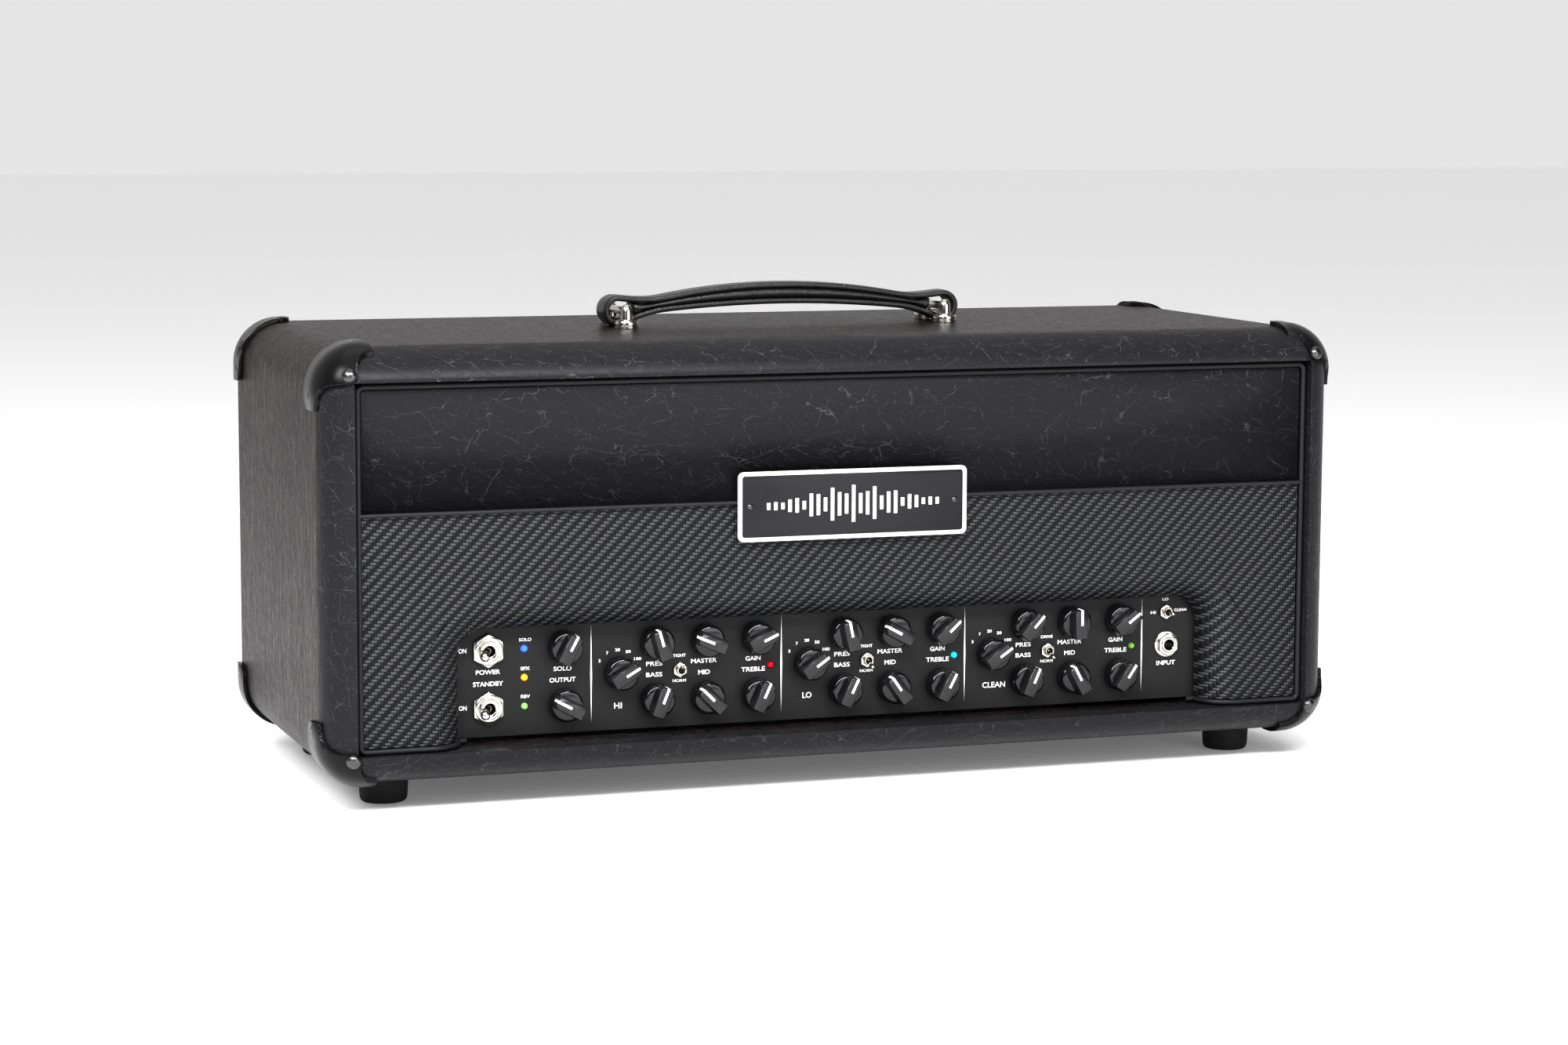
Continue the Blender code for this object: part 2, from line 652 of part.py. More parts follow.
def knob_mesh():
    """A pointer knob along +Z with its bar along Y, and a blind hole for the shaft."""
    body = turned_mesh("knob_body", (
        (0, KNOB_BODY), (KNOB_RADIUS - 0.9, KNOB_BODY), (KNOB_RADIUS, KNOB_BODY - 0.9),
        (KNOB_RADIUS, 0), (0, 0)), 16)
    bar = box_mesh("knob_bar", (KNOB_BAR, 2 * KNOB_RADIUS - 1.2, KNOB_HEIGHT - 2))
    bore = rod_mesh("knob_bore", SHAFT_RADIUS + SHAFT_FIT, SHAFT_REACH + 0.6 + 5, 8)
    knob = bpy.data.objects.new("knob_pattern", body)
    CUTTERS.objects.link(knob)
    knob.hide_render = True
    knob.display_type = "WIRE"
    shape_with(knob, bar, "UNION", at(0, 0, KNOB_HEIGHT - (KNOB_HEIGHT - 2) / 2))
    shape_with(knob, bore, "DIFFERENCE", at(0, 0, -5))
    bpy.context.view_layer.update()
    return evaluated_mesh(knob)


def make_knobs():
    pattern = knob_mesh()
    for name, x, z, angle in knob_places():
        add_part(name, pattern, KNOB, (x, PANEL_Y - KNOB_LIFT, z), (FACING_FRONT, math.radians(angle), 0))


def lever_mesh(name, length, neck, ball, tip, steps):
    """A toggle's bat lever along +Z with its pivot ball at the origin."""
    pivot = [(ball * math.cos(math.radians(a)), ball * math.sin(math.radians(a))) for a in (-45, 0, 40)]
    end = [(tip * math.cos(math.radians(a)), length + tip * math.sin(math.radians(a))) for a in (55, 15, -30)]
    profile = [(0, length + tip)] + end + [(neck * 1.15, length - 2.2 * tip), (neck, ball)]
    return turned_mesh(name, profile + pivot[::-1] + [(0, -ball)], steps)


def make_switches():
    pivot_y = PANEL_Y - GAP - 5.2 + 4.2
    lever = lever_mesh("switch_lever", 22.5, 1.4, 2.3, 2.85, 12)
    for name, z in (("power", ROW_UPPER), ("standby", ROW_LOWER)):
        lean = (FACING_FRONT, 0, math.radians(-SWITCH_LEAN))
        add_part(f"{name}_lever", lever, CHROME, (SWITCH_X, pivot_y, z), lean)
        case_depth = 24.0
        case_front = PANEL_Y + SHEET + GAP
        mesh = box_mesh(f"{name}_switch_body", (18, case_depth, 28), 1.0)
        switch = add_part(f"{name}_switch_body", mesh, CHROME, (SWITCH_X, case_front + case_depth / 2, z))
        bushing = rod_mesh("bushing", 5.9, 5.2 + GAP + SHEET + 3, 16)
        shape_with(switch, bushing, "UNION", at(SWITCH_X, case_front + 2.7, z, TO_FRONT))
        nut = rod_mesh("nut", 10.1, 2.4, 6)
        shape_with(switch, nut, "UNION", at(SWITCH_X, PANEL_Y - GAP, z, TO_FRONT))
        bore = rod_mesh("bore", 3.4, 12.2, 12)
        shape_with(switch, bore, "DIFFERENCE", at(SWITCH_X, PANEL_Y - GAP - 5.2 + 7.2, z, TO_FRONT))


def make_mini_levers():
    front = PANEL_Y - GAP - 4.4
    pivot_y = front + 2.0
    lever = lever_mesh("mini_lever", 8.4, 0.7, 0.9, 1.2, 8)
    leans = list(MINI_REST) + [0]
    for (name, x, z), lean in zip(mini_places(), leans):
        tilt = FACING_FRONT + math.radians(MINI_LEAN * lean)
        add_part(name, lever, CHROME, (x, pivot_y, z), (tilt, 0, 0))


def make_input_jack():
    case_depth = 24.0
    case_front = PANEL_Y + SHEET + GAP
    mesh = box_mesh("input_jack", (16, case_depth, 18), 1.0)
    jack = add_part("input_jack", mesh, CHROME, (INPUT_X, case_front + case_depth / 2, ROW_MIDDLE))
    bushing = rod_mesh("bushing", 4.8, 8.6, 16)
    shape_with(jack, bushing, "UNION", at(INPUT_X, case_front + 2, ROW_MIDDLE, TO_FRONT))
    washer = rod_mesh("washer", 8.0, 0.8, 16)
    shape_with(jack, washer, "UNION", at(INPUT_X, PANEL_Y - GAP, ROW_MIDDLE, TO_FRONT))
    nut = rod_mesh("nut", 7.2, 3.2, 6)
    shape_with(jack, nut, "UNION", at(INPUT_X, PANEL_Y - GAP - 0.4, ROW_MIDDLE, TO_FRONT))
    bore = rod_mesh("bore", 3.2, 33, 16)
    shape_with(jack, bore, "DIFFERENCE", at(INPUT_X, case_front + case_depth - 3, ROW_MIDDLE, TO_FRONT))


def make_rear_jacks():
    back_y = REAR_PANEL_Y - SHEET - 14.0
    thick = 1.6
    span = JACKS_X[-1] - JACKS_X[0] + 30
    centre = (JACKS_X[-1] + JACKS_X[0]) / 2
    mesh = box_mesh("rear_jack_board", (span, thick, 40))
    board = add_part("rear_jack_board", mesh, CIRCUIT, (centre, back_y - thick / 2, REAR_ROW))
    nut = 14 + SHEET + GAP
    jack = turned_mesh("jack", (
        (0, 1.5), (3.2, 1.5), (3.2, nut + 2.6), (7.0, nut + 2.6), (7.0, nut), (4.7, nut), (4.7, 13.5),
        (7.5, 13.5), (7.5, -0.5), (0, -0.5)), 12)
    pieces = [(jack, at(x, back_y, REAR_ROW, TO_BACK)) for x in JACKS_X]
    shape_with(board, merged_mesh("jacks", pieces), "UNION")


def make_mains_inlet():
    width, height = INLET_SIZE
    depth = 24.0
    mesh = box_mesh("mains_inlet", (width, depth, height), 0.8)
    inlet = add_part("mains_inlet", mesh, MOULDED, (INLET_X, REAR_PANEL_Y + GAP + 1.5 - depth / 2, REAR_ROW))
    flange = box_mesh("flange", (50, 2.5, 27), 0.8)
    shape_with(inlet, flange, "UNION", at(INLET_X, REAR_PANEL_Y + GAP + 1.25, REAR_ROW))
    socket = box_mesh("socket", (width - 4, 18, height - 5), 0.0)
    shape_with(inlet, socket, "DIFFERENCE", at(INLET_X, REAR_PANEL_Y - 4, REAR_ROW))


def valve_bank(name, places_x, y, plate_size, valve, material):
    """Valves in their sockets, joined by the plate that carries them."""
    bottom = DECK_Z + GAP
    middle = (places_x[0] + places_x[-1]) / 2
    mesh = box_mesh(name, plate_size)
    bank = add_part(name, mesh, material, (middle, y, bottom + plate_size[2] / 2))
    pieces = [(valve, at(x, y, bottom + plate_size[2] - 0.6)) for x in places_x]
    shape_with(bank, merged_mesh(f"{name}_valves", pieces), "UNION")


def make_valves():
    power = turned_mesh("power_valve", (
        (0, 102), (6, 100), (12, 95), (17, 84), (17, 60), (15, 42), (16.5, 38), (16.5, 14), (21, 13),
        (21, 0), (0, 0)), 14)
    preamp = turned_mesh("preamp_valve", (
        (0, 58), (4, 56), (10, 51), (10.5, 14), (12.5, 13), (12.5, 0), (0, 0)), 12)
    valve_bank("power_valves", POWER_VALVES_X, POWER_VALVES_Y, (192, 46, 1.6), power, GLASS)
    valve_bank("preamp_valves", PREAMP_VALVES_X, PREAMP_VALVES_Y, (236, 30, 1.6), preamp, GLASS)


def make_transformer(name, centre, core, bell):
    """A laminated core between two end bells, standing on a flanged foot."""
    x, y = centre
    bottom = DECK_Z + GAP
    width, depth, height = core
    mesh = box_mesh(name, (width, depth, height))
    part = add_part(name, mesh, STEEL, (x, y, bottom + height / 2))
    bells = box_mesh("bells", (bell, depth + 44, height - 12), 8, 2)
    shape_with(part, bells, "UNION", at(x, y, bottom + height / 2))
    foot = box_mesh("foot", (width + 18, depth - 8, 3))
    shape_with(part, foot, "UNION", at(x, y, bottom + 1.5))


def make_rear_grille():
    """The rear cover: it fills the back of the cabinet around the chassis and is slotted for air."""
    low, high = DECK_Z + 1.4, CEILING_Z - 0.6
    half = WIDTH / 2 - WALL - 0.6
    base = FLOOR_Z + 0.6
    inner = CHASSIS_WIDTH / 2 + 0.8
    outline = [(half, base), (half, high), (-half, high), (-half, base), (-inner, base), (-inner, low),
               (inner, low), (inner, base)]
    slots = []
    columns, rows = 12, 3
    slot_width, slot_height = 38.0, 22.0
    pitch_x, pitch_z = 47.0, 36.0
    middle = (low + high) / 2
    for column in range(columns):
        for row in range(rows):
            x = (column - (columns - 1) / 2) * pitch_x
            z = middle + (row - (rows - 1) / 2) * pitch_z
            slots.append([(x + sx * slot_width / 2, z + sz * slot_height / 2)
                          for sx, sz in ((-1, -1), (-1, 1), (1, 1), (1, -1))])
    mesh = outline_mesh("rear_grille", [outline] + slots, SHEET, REAR_PANEL_Y - SHEET)
    add_part("rear_grille", mesh, MOULDED)


remove_old_objects()
PARTS = new_collection("guitar_amp_head")
CUTTERS = new_collection("cutters")

VINYL = new_material("vinyl", (0.021, 0.021, 0.022), 0.45)
WEAVE = new_material("weave", (0.028, 0.028, 0.030), 0.5)
PIPING = new_material("piping", (0.016, 0.016, 0.017), 0.35)
BADGE = new_material("badge", (0.03, 0.03, 0.032), 0.3)
GUARD = new_material("guard", (0.02, 0.02, 0.02), 0.4)
RUBBER = new_material("rubber", (0.012, 0.012, 0.012), 0.8)
CHROME = new_material("chrome", (0.82, 0.82, 0.83), 0.12, 1.0)
LEATHER = new_material("leather", (0.02, 0.019, 0.019), 0.5)
PANEL = new_material("panel", (0.036, 0.035, 0.036), 0.55)
KNOB = new_material("knob", (0.012, 0.012, 0.013), 0.2)
CIRCUIT = new_material("circuit", (0.02, 0.10, 0.045), 0.5)
MOULDED = new_material("moulded", (0.015, 0.015, 0.016), 0.5)
GLASS = new_material("glass", (0.55, 0.56, 0.56), 0.1)
STEEL = new_material("steel", (0.06, 0.06, 0.065), 0.5, 0.3)

make_cabinet()
make_fascia_board()
make_fascia_piping()
make_badge()
make_guards()
make_feet()
make_handle_mounts()
make_handle_strap()
make_chassis()
make_control_board()
make_knobs()
make_switches()
make_mini_levers()
make_input_jack()
make_rear_jacks()
make_mains_inlet()
make_valves()
make_transformer("mains_transformer", MAINS_TRANSFORMER, (96, 52, 82), 70)
make_transformer("output_transformer", OUTPUT_TRANSFORMER, (80, 44, 68), 56)
make_rear_grille()
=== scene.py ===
"""Looks of a guitar amp head: covered cabinet, woven fascia, knobs, toggles, handle, guards and valves.

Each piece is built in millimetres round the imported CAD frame, and rides on one of its bodies.
"""
import math

import bmesh
import bpy
from mathutils import Matrix, Vector


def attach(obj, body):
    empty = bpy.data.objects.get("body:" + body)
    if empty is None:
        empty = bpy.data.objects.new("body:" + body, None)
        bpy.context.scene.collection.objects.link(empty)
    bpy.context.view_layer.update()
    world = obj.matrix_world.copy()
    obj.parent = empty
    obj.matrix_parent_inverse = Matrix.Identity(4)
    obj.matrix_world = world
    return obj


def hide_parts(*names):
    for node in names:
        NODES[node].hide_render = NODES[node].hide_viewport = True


MM = 0.001
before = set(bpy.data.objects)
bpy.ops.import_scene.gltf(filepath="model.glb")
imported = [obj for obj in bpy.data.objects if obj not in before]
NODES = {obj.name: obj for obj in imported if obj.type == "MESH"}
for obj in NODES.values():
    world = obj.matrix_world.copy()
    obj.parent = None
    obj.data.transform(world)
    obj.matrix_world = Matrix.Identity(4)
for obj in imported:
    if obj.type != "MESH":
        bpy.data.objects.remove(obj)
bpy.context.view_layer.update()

# Cabinet, as in the CAD
WIDTH, DEPTH, HEIGHT = 631.8, 272.4, 249.8
WALL, TOP_WALL = 18.0, 19.5
EDGE_RADIUS = 25.4
FOOT_HEIGHT = 17.6
FRONT_Y, BACK_Y = -DEPTH / 2, DEPTH / 2
TOP_Z = FOOT_HEIGHT + HEIGHT
FLOOR_Z = FOOT_HEIGHT + WALL
CEILING_Z = TOP_Z - TOP_WALL
BATTEN = 15.0
GAP = 0.3

# Fascia
FASCIA_Y = FRONT_Y + 7.1
FASCIA_HALF = 296.8
FASCIA_BOTTOM = FOOT_HEIGHT + 18.6
FASCIA_TOP = FASCIA_BOTTOM + 210.6
SEAM_Z = FASCIA_BOTTOM + 136.4
BOARD_FRONT = FASCIA_Y + 1.0
BOARD_THICK = 12.0
PIPING_RADIUS = 1.6
SEAT = 3.6
ARCH_HALF = 234.3
ARCH_TOP = FASCIA_BOTTOM + 66.6
ARCH_CORNER = 16.0
ROLL_RADIUS = 19.0
FASCIA_CORNER = 5.0
PIPING_TUCK = 229.0
DIVIDER_RADIUS = 1.3
BADGE_Z = FASCIA_BOTTOM + 134.0
BADGE_HALF_HEIGHT = 20.5
BADGE_THICK = 2.0

# Control panel and its rows
PANEL_Y = FASCIA_Y + 22.0
FACE_Y = PANEL_Y - GAP
SHEET = 2.0
CHASSIS_BOTTOM = FLOOR_Z + 3.2
DECK_Z = CHASSIS_BOTTOM + 68.0
REAR_PANEL_Y = PANEL_Y + 226.0
REAR_ROW = CHASSIS_BOTTOM + 34.0
ROW_UPPER = FASCIA_BOTTOM + 53.2
ROW_MIDDLE = FASCIA_BOTTOM + 36.3
ROW_LOWER = FASCIA_BOTTOM + 19.4
ROW_SELECTOR = FASCIA_BOTTOM + 56.5
CHANNEL_LEFT = -153.1
CHANNEL_PITCH = 117.5
SWITCH_X, LED_X, OUTPUT_X, INPUT_X = -215.3, -193.3, -169.6, 216.0
SWITCH_LEAN, MINI_LEAN = 19, 20
MINI_REST = (-1, 1, 1)
MINI_OFFSET, LED_OFFSET = 54.1, 110.7
CHANNELS = ("hi", "lo", "clean")
CHANNEL_KNOBS = (
    ("selector", 17.3, ROW_MIDDLE, (60, 55, 56)),
    ("presence", 39.4, ROW_UPPER, (-16, -12, 42)),
    ("master", 70.4, ROW_UPPER, (-67, -61, 0)),
    ("gain", 101.9, ROW_UPPER, (66, 47, 53)),
    ("bass", 39.4, ROW_LOWER, (22, 26, 24)),
    ("mid", 70.4, ROW_LOWER, (-45, -35, -28)),
    ("treble", 101.9, ROW_LOWER, (25, 28, 34)),
)

TO_FRONT = Matrix.Rotation(math.radians(90), 4, "X")
TO_BACK = Matrix.Rotation(math.radians(-90), 4, "X")


# Mesh helpers
def mesh_of(bm):
    bmesh.ops.recalc_face_normals(bm, faces=bm.faces)
    mesh = bpy.data.meshes.new("shape")
    bm.to_mesh(mesh)
    bm.free()
    return mesh


def bevel_edges(bm, edges, width, segments):
    bmesh.ops.bevel(bm, geom=edges, offset=width * MM, segments=segments, profile=0.5, affect="EDGES")


def box(size, bevel=0.0, segments=3):
    bm = bmesh.new()
    bmesh.ops.create_cube(bm, size=1.0)
    bmesh.ops.scale(bm, vec=Vector(size) * MM, verts=bm.verts)
    if bevel:
        bevel_edges(bm, bm.edges, bevel, segments)
    return mesh_of(bm)


def lathe(profile, steps=48, ring=False):
    """A turned shape about Z. Its (radius, height) profile runs from axis to axis, or closes a ring."""
    bm = bmesh.new()
    rings = []
    for radius, height in profile:
        if radius < 1e-6:
            rings.append([bm.verts.new((0, 0, height * MM))])
            continue
        circle = []
        for step in range(steps):
            angle = 2 * math.pi * step / steps
            x, y = radius * MM * math.cos(angle), radius * MM * math.sin(angle)
            circle.append(bm.verts.new((x, y, height * MM)))
        rings.append(circle)
    for lower, upper in zip(rings, rings[1:] + rings[:1] if ring else rings[1:]):
        for step in range(steps):
            following = (step + 1) % steps
            corners = [lower[step % len(lower)], lower[following % len(lower)],
                       upper[following % len(upper)], upper[step % len(upper)]]
            unique = list(dict.fromkeys(corners))
            if len(unique) > 2:
                bm.faces.new(unique)
    return mesh_of(bm)


def prism(radius, height, bevel=0.4):
    """A six-sided prism standing on its origin along Z."""
    bm = bmesh.new()
    shift = Matrix.Translation((0, 0, height * MM / 2))
    bmesh.ops.create_cone(bm, cap_ends=True, segments=6, radius1=radius * MM, radius2=radius * MM,
                          depth=height * MM, matrix=shift)
    bevel_edges(bm, bm.edges, bevel, 2)
    return mesh_of(bm)


def evaluated(source):
    graph = bpy.context.evaluated_depsgraph_get()
    graph.update()
    return bpy.data.meshes.new_from_object(source.evaluated_get(graph))


def placed(data, name="scratch"):
    """A new object in the scene."""
    thing = bpy.data.objects.new(name, data)
    bpy.context.scene.collection.objects.link(thing)
    return thing


def drop(*holders):
    for holder in holders:
        bpy.data.objects.remove(holder, do_unlink=True)


def baked(holder, matrix=None):
    """The mesh of a scratch object with its modifiers applied, welded and in place. The object goes."""
    mesh = evaluated(holder)
    drop(holder)
    bm = bmesh.new()
    bm.from_mesh(mesh)
    bmesh.ops.remove_doubles(bm, verts=bm.verts, dist=0.000001)
    if matrix is not None:
        bmesh.ops.transform(bm, matrix=matrix, verts=bm.verts)
    return mesh_of(bm)


def combine(mesh, tools, bevel=0.0):
    """A mesh after boolean steps, given as (operation, mesh, matrix), with its sharp edges softened."""
    target = placed(mesh)
    holders = []
    for operation, tool_mesh, matrix in tools:
        tool = placed(tool_mesh)
        tool.matrix_world = matrix
        modifier = target.modifiers.new(operation.lower(), "BOOLEAN")
        modifier.operation = operation
        modifier.solver = "EXACT"
        modifier.object = tool
        holders.append(tool)
    if bevel:
        soften(target, bevel)
    result = evaluated(target)
    drop(target, *holders)
    return result


def soften(part, width):
    bevel = part.modifiers.new("soften", "BEVEL")
    bevel.width = width * MM
    bevel.segments = 2
    bevel.limit_method = "ANGLE"
    bevel.angle_limit = math.radians(35)
    bevel.harden_normals = True


def plate(outlines, thickness, y_front):
    """A plate in the X-Z plane: outlines hold (x, z) points, the first the outside and the rest holes."""
    curve = bpy.data.curves.new("outline", "CURVE")
    curve.dimensions = "2D"
    curve.fill_mode = "BOTH"
    curve.extrude = thickness * MM / 2
    for outline in outlines:
        spline = curve.splines.new("POLY")
        spline.points.add(len(outline) - 1)
        spline.use_cyclic_u = True
        for point, (x, z) in zip(spline.points, outline):
            point.co = (x * MM, z * MM, 0, 1)
    stand = Matrix.Translation((0, (y_front + thickness / 2) * MM, 0)) @ TO_FRONT
    return baked(placed(curve), stand)


def tube(path, radius, sides=4):
    curve = bpy.data.curves.new("outline", "CURVE")
    curve.dimensions = "3D"
    curve.bevel_depth = radius * MM
    curve.bevel_resolution = sides
    curve.use_fill_caps = True
    spline = curve.splines.new("POLY")
    spline.points.add(len(path) - 1)
    for point, place in zip(spline.points, path):
        point.co = (*(Vector(place) * MM), 1)
    return baked(placed(curve))


def arc(centre, radius, start, end, steps):
    points = []
    for step in range(steps + 1):
        angle = math.radians(start + (end - start) * step / steps)
        points.append((centre[0] + radius * math.cos(angle), centre[1] + radius * math.sin(angle)))
    return points


def round_rect(half_width, low, high, radius, steps=8):
    x, bottom, top = half_width - radius, low + radius, high - radius
    return (arc((x, bottom), radius, -90, 0, steps) + arc((x, top), radius, 0, 90, steps)
            + arc((-x, top), radius, 90, 180, steps) + arc((-x, bottom), radius, 180, 270, steps))


def at(x, y, z, turn=None):
    place = Matrix.Translation(Vector((x, y, z)) * MM)
    return place if turn is None else place @ turn


def joined(pieces):
    """One mesh from several (mesh, matrix) pairs."""
    bm = bmesh.new()
    for mesh, matrix in pieces:
        copy = mesh.copy()
        copy.transform(matrix)
        bm.from_mesh(copy)
        bpy.data.meshes.remove(copy)
    mesh = bpy.data.meshes.new("shape")
    bm.to_mesh(mesh)
    bm.free()
    return mesh


def outward(mesh):
    """The mesh with its faces turned outwards again, after a mirrored matrix."""
    bm = bmesh.new()
    bm.from_mesh(mesh)
    return mesh_of(bm)


def piece(name, mesh, material, replaces=(), matrix=None, body="cabinet", sharp=35):
    """Adds a finished piece to the scene, sets what it rides on and hides the CAD parts it replaces."""
    thing = placed(mesh, name)
    mesh.materials.clear()
    mesh.materials.append(material)
    mesh.shade_smooth()
    mesh.set_sharp_from_angle(angle=math.radians(sharp))
    if matrix is not None:
        thing.matrix_world = matrix
    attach(thing, body)
    if replaces:
        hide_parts(*replaces)
    return thing


# Material helpers
class Nodes:
    """Short calls for building a material's nodes."""

    def __init__(self, name, colour, roughness, metallic=0.0, specular=0.2):
        self.material = bpy.data.materials.new(name)
        self.material.use_nodes = True
        self.tree = self.material.node_tree
        self.shader = self.tree.nodes["Principled BSDF"]
        self.constants({"Base Color": (*colour, 1.0), "Roughness": roughness, "Metallic": metallic,
                        "Specular IOR Level": specular})
        self.place = self.node("ShaderNodeTexCoord", {}).outputs["Object"]

    def node(self, kind, values, **settings):
        """Adds a node with its settings, and links or sets the sockets that values names."""
        made = self.tree.nodes.new(kind)
        for key, value in settings.items():
            setattr(made, key, value)
        for socket, value in values.items():
            self.put(made.inputs[socket], value)
        return made

    def constants(self, values):
        """Sets constants on the shader's own sockets."""
        for socket, value in values.items():
            self.shader.inputs[socket].default_value = value

    def link(self, source, target):
        self.tree.links.new(source, target)

    def put(self, target, value):
        if isinstance(value, (int, float, tuple)):
            target.default_value = value
        else:
            self.link(value, target)

    def maths(self, operation, first, second=0.0, clamp=False):
        made = self.node("ShaderNodeMath", {0: first, 1: second}, operation=operation, use_clamp=clamp)
        return made.outputs[0]

    def noise(self, scale, detail=3.0, roughness=0.5, place=None, output="Fac"):
        values = {"Vector": place or self.place, "Scale": scale, "Detail": detail, "Roughness": roughness}
        return self.node("ShaderNodeTexNoise", values).outputs[output]

    def axes(self):
        """The object place, split into its X, Y and Z."""
        return self.node("ShaderNodeSeparateXYZ", {0: self.place}).outputs

    def cells(self, scale, place=None, feature="F1"):
        values = {"Vector": place or self.place, "Scale": scale}
        return self.node("ShaderNodeTexVoronoi", values, feature=feature).outputs["Distance"]

    def stretched(self, lengths, turn=(0.0, 0.0, 0.0), place=None):
        """The place turned, then drawn out by the given lengths along its own axes."""
        values = {"Vector": place or self.place, "Rotation": turn, "Scale": lengths}
        return self.node("ShaderNodeMapping", values, vector_type="TEXTURE").outputs["Vector"]

    def span(self, value, low, high):
        """0 below the low value, 1 above the high one."""
        values = {"Value": value, "From Min": low, "From Max": high}
        return self.node("ShaderNodeMapRange", values).outputs["Result"]

    def warped(self, scale, amount, place=None):
        """The place moved about by a noise, in metres."""
        colour = self.noise(scale, 2.0, 0.5, place, "Color")
        values = {0: colour, 1: (amount,) * 3, 2: place or self.place}
        return self.node("ShaderNodeVectorMath", values, operation="MULTIPLY_ADD").outputs[0]

    def ramp(self, value, stops):
        """Maps a value through (position, grey) stops."""
        made = self.node("ShaderNodeValToRGB", {"Fac": value})
        points = made.color_ramp.elements
        while len(points) < len(stops):
            points.new(0.5)
        for point, (position, grey) in zip(points, stops):
            point.position = position
            point.color = (*([grey] * 3 if isinstance(grey, float) else grey), 1.0)
        return made.outputs["Color"]

    def mix(self, factor, first, second):
        """A colour between two others."""
        first, second = ((*value, 1.0) if isinstance(value, tuple) else value for value in (first, second))
        values = {"Factor": factor, "A": first, "B": second}
        return self.node("ShaderNodeMix", values, data_type="RGBA").outputs["Result"]

    def colour(self, source):
        self.link(source, self.shader.inputs["Base Color"])

    def roughness(self, source):
        self.link(source, self.shader.inputs["Roughness"])

    def bump(self, height, distance):
        """Adds a bump of the given height in millimetres on top of any before it."""
        made = self.node("ShaderNodeBump", {"Height": height, "Strength": 1.0, "Distance": distance * MM})
        before = self.shader.inputs["Normal"]
        if before.is_linked:
            self.link(before.links[0].from_socket, made.inputs["Normal"])
        self.link(made.outputs["Normal"], before)


def crease_lines(n, scale, length, turn, width, cover):
    """Thin broken creases: the edges of irregular cells drawn out along one direction."""
    place = n.stretched((length, 1.0, 1.0), (0.0, turn, 0.0), n.warped(scale * 1.6, 0.35 / scale))
    lines = n.ramp(n.cells(scale, place, "DISTANCE_TO_EDGE"), [(0.0, 1.0), (width, 0.0)])
    breaks = n.ramp(n.noise(scale * 1.1, 3.0, 0.6), [(cover, 0.0), (cover + 0.08, 1.0)])
    return n.maths("MULTIPLY", lines, breaks)


# Where the covering changes its grain and its painted light and shade, as (start, end) in metres
TOP_FADE = (0.252, 0.265)
FRONT_FADE = (-0.122, -0.112)


def vinyl_material():
    """Black embossed covering: fine broken creases in front, and a streaky grain behind the front edge. The
    creases are coloured lighter, a painted highlight, and behind the front edge the grain is coloured as light
    and dark streaks with a warm tint, painted light and shade.
    """
    n = Nodes("vinyl_cover", (0.015, 0.015, 0.016), 0.36, 0.0, 0.13)
    axes = n.axes()
    top = n.span(axes["Z"], *TOP_FADE)
    flat = n.span(axes["Y"], *FRONT_FADE)
    warp = n.warped(70.0, 0.004)
    upright = n.noise(330.0, 4.0, 0.65, n.stretched((1.0, 1.0, 9.0), place=warp))
    level = n.noise(330.0, 4.0, 0.65, n.stretched((9.0, 1.0, 1.0), place=warp))
    grain = n.ramp(n.mix(top, upright, level), [(0.40, 0.0), (0.62, 1.0)])
    long_lines = crease_lines(n, 100.0, 3.2, 0.42, 0.013, 0.46)
    short_lines = crease_lines(n, 260.0, 2.6, 0.15, 0.026, 0.51)
    cross_lines = crease_lines(n, 62.0, 5.0, -0.22, 0.008, 0.47)
    lines = n.maths("MAXIMUM", n.maths("MAXIMUM", long_lines, cross_lines), short_lines)
    n.bump(n.noise(1500.0, 2.0, 0.6), 0.05)
    n.bump(n.maths("MULTIPLY", grain, flat), 0.45)
    n.bump(lines, 0.18)
    # Painted highlight: the creases are coloured lighter than the covering, standing in for light caught along
    # them.
    front = n.mix(lines, (0.0145, 0.0145, 0.0160), (0.062, 0.062, 0.067))
    # Painted light and shade: behind the front edge the grain is coloured as dark and light streaks with a warm
    # tint, and the creases a little lighter, standing in for light on the grain at a grazing angle.
    painted_grain_light = n.mix(grain, (0.0018, 0.0012, 0.0012), (0.030, 0.0232, 0.0226))
    n.colour(n.mix(flat, front, n.mix(n.maths("MULTIPLY", lines, 0.25), painted_grain_light, (0.075, 0.070, 0.070))))
    n.roughness(n.ramp(n.noise(220.0, 4.0, 0.6), [(0.3, 0.27), (0.7, 0.40)]))
    return n.material


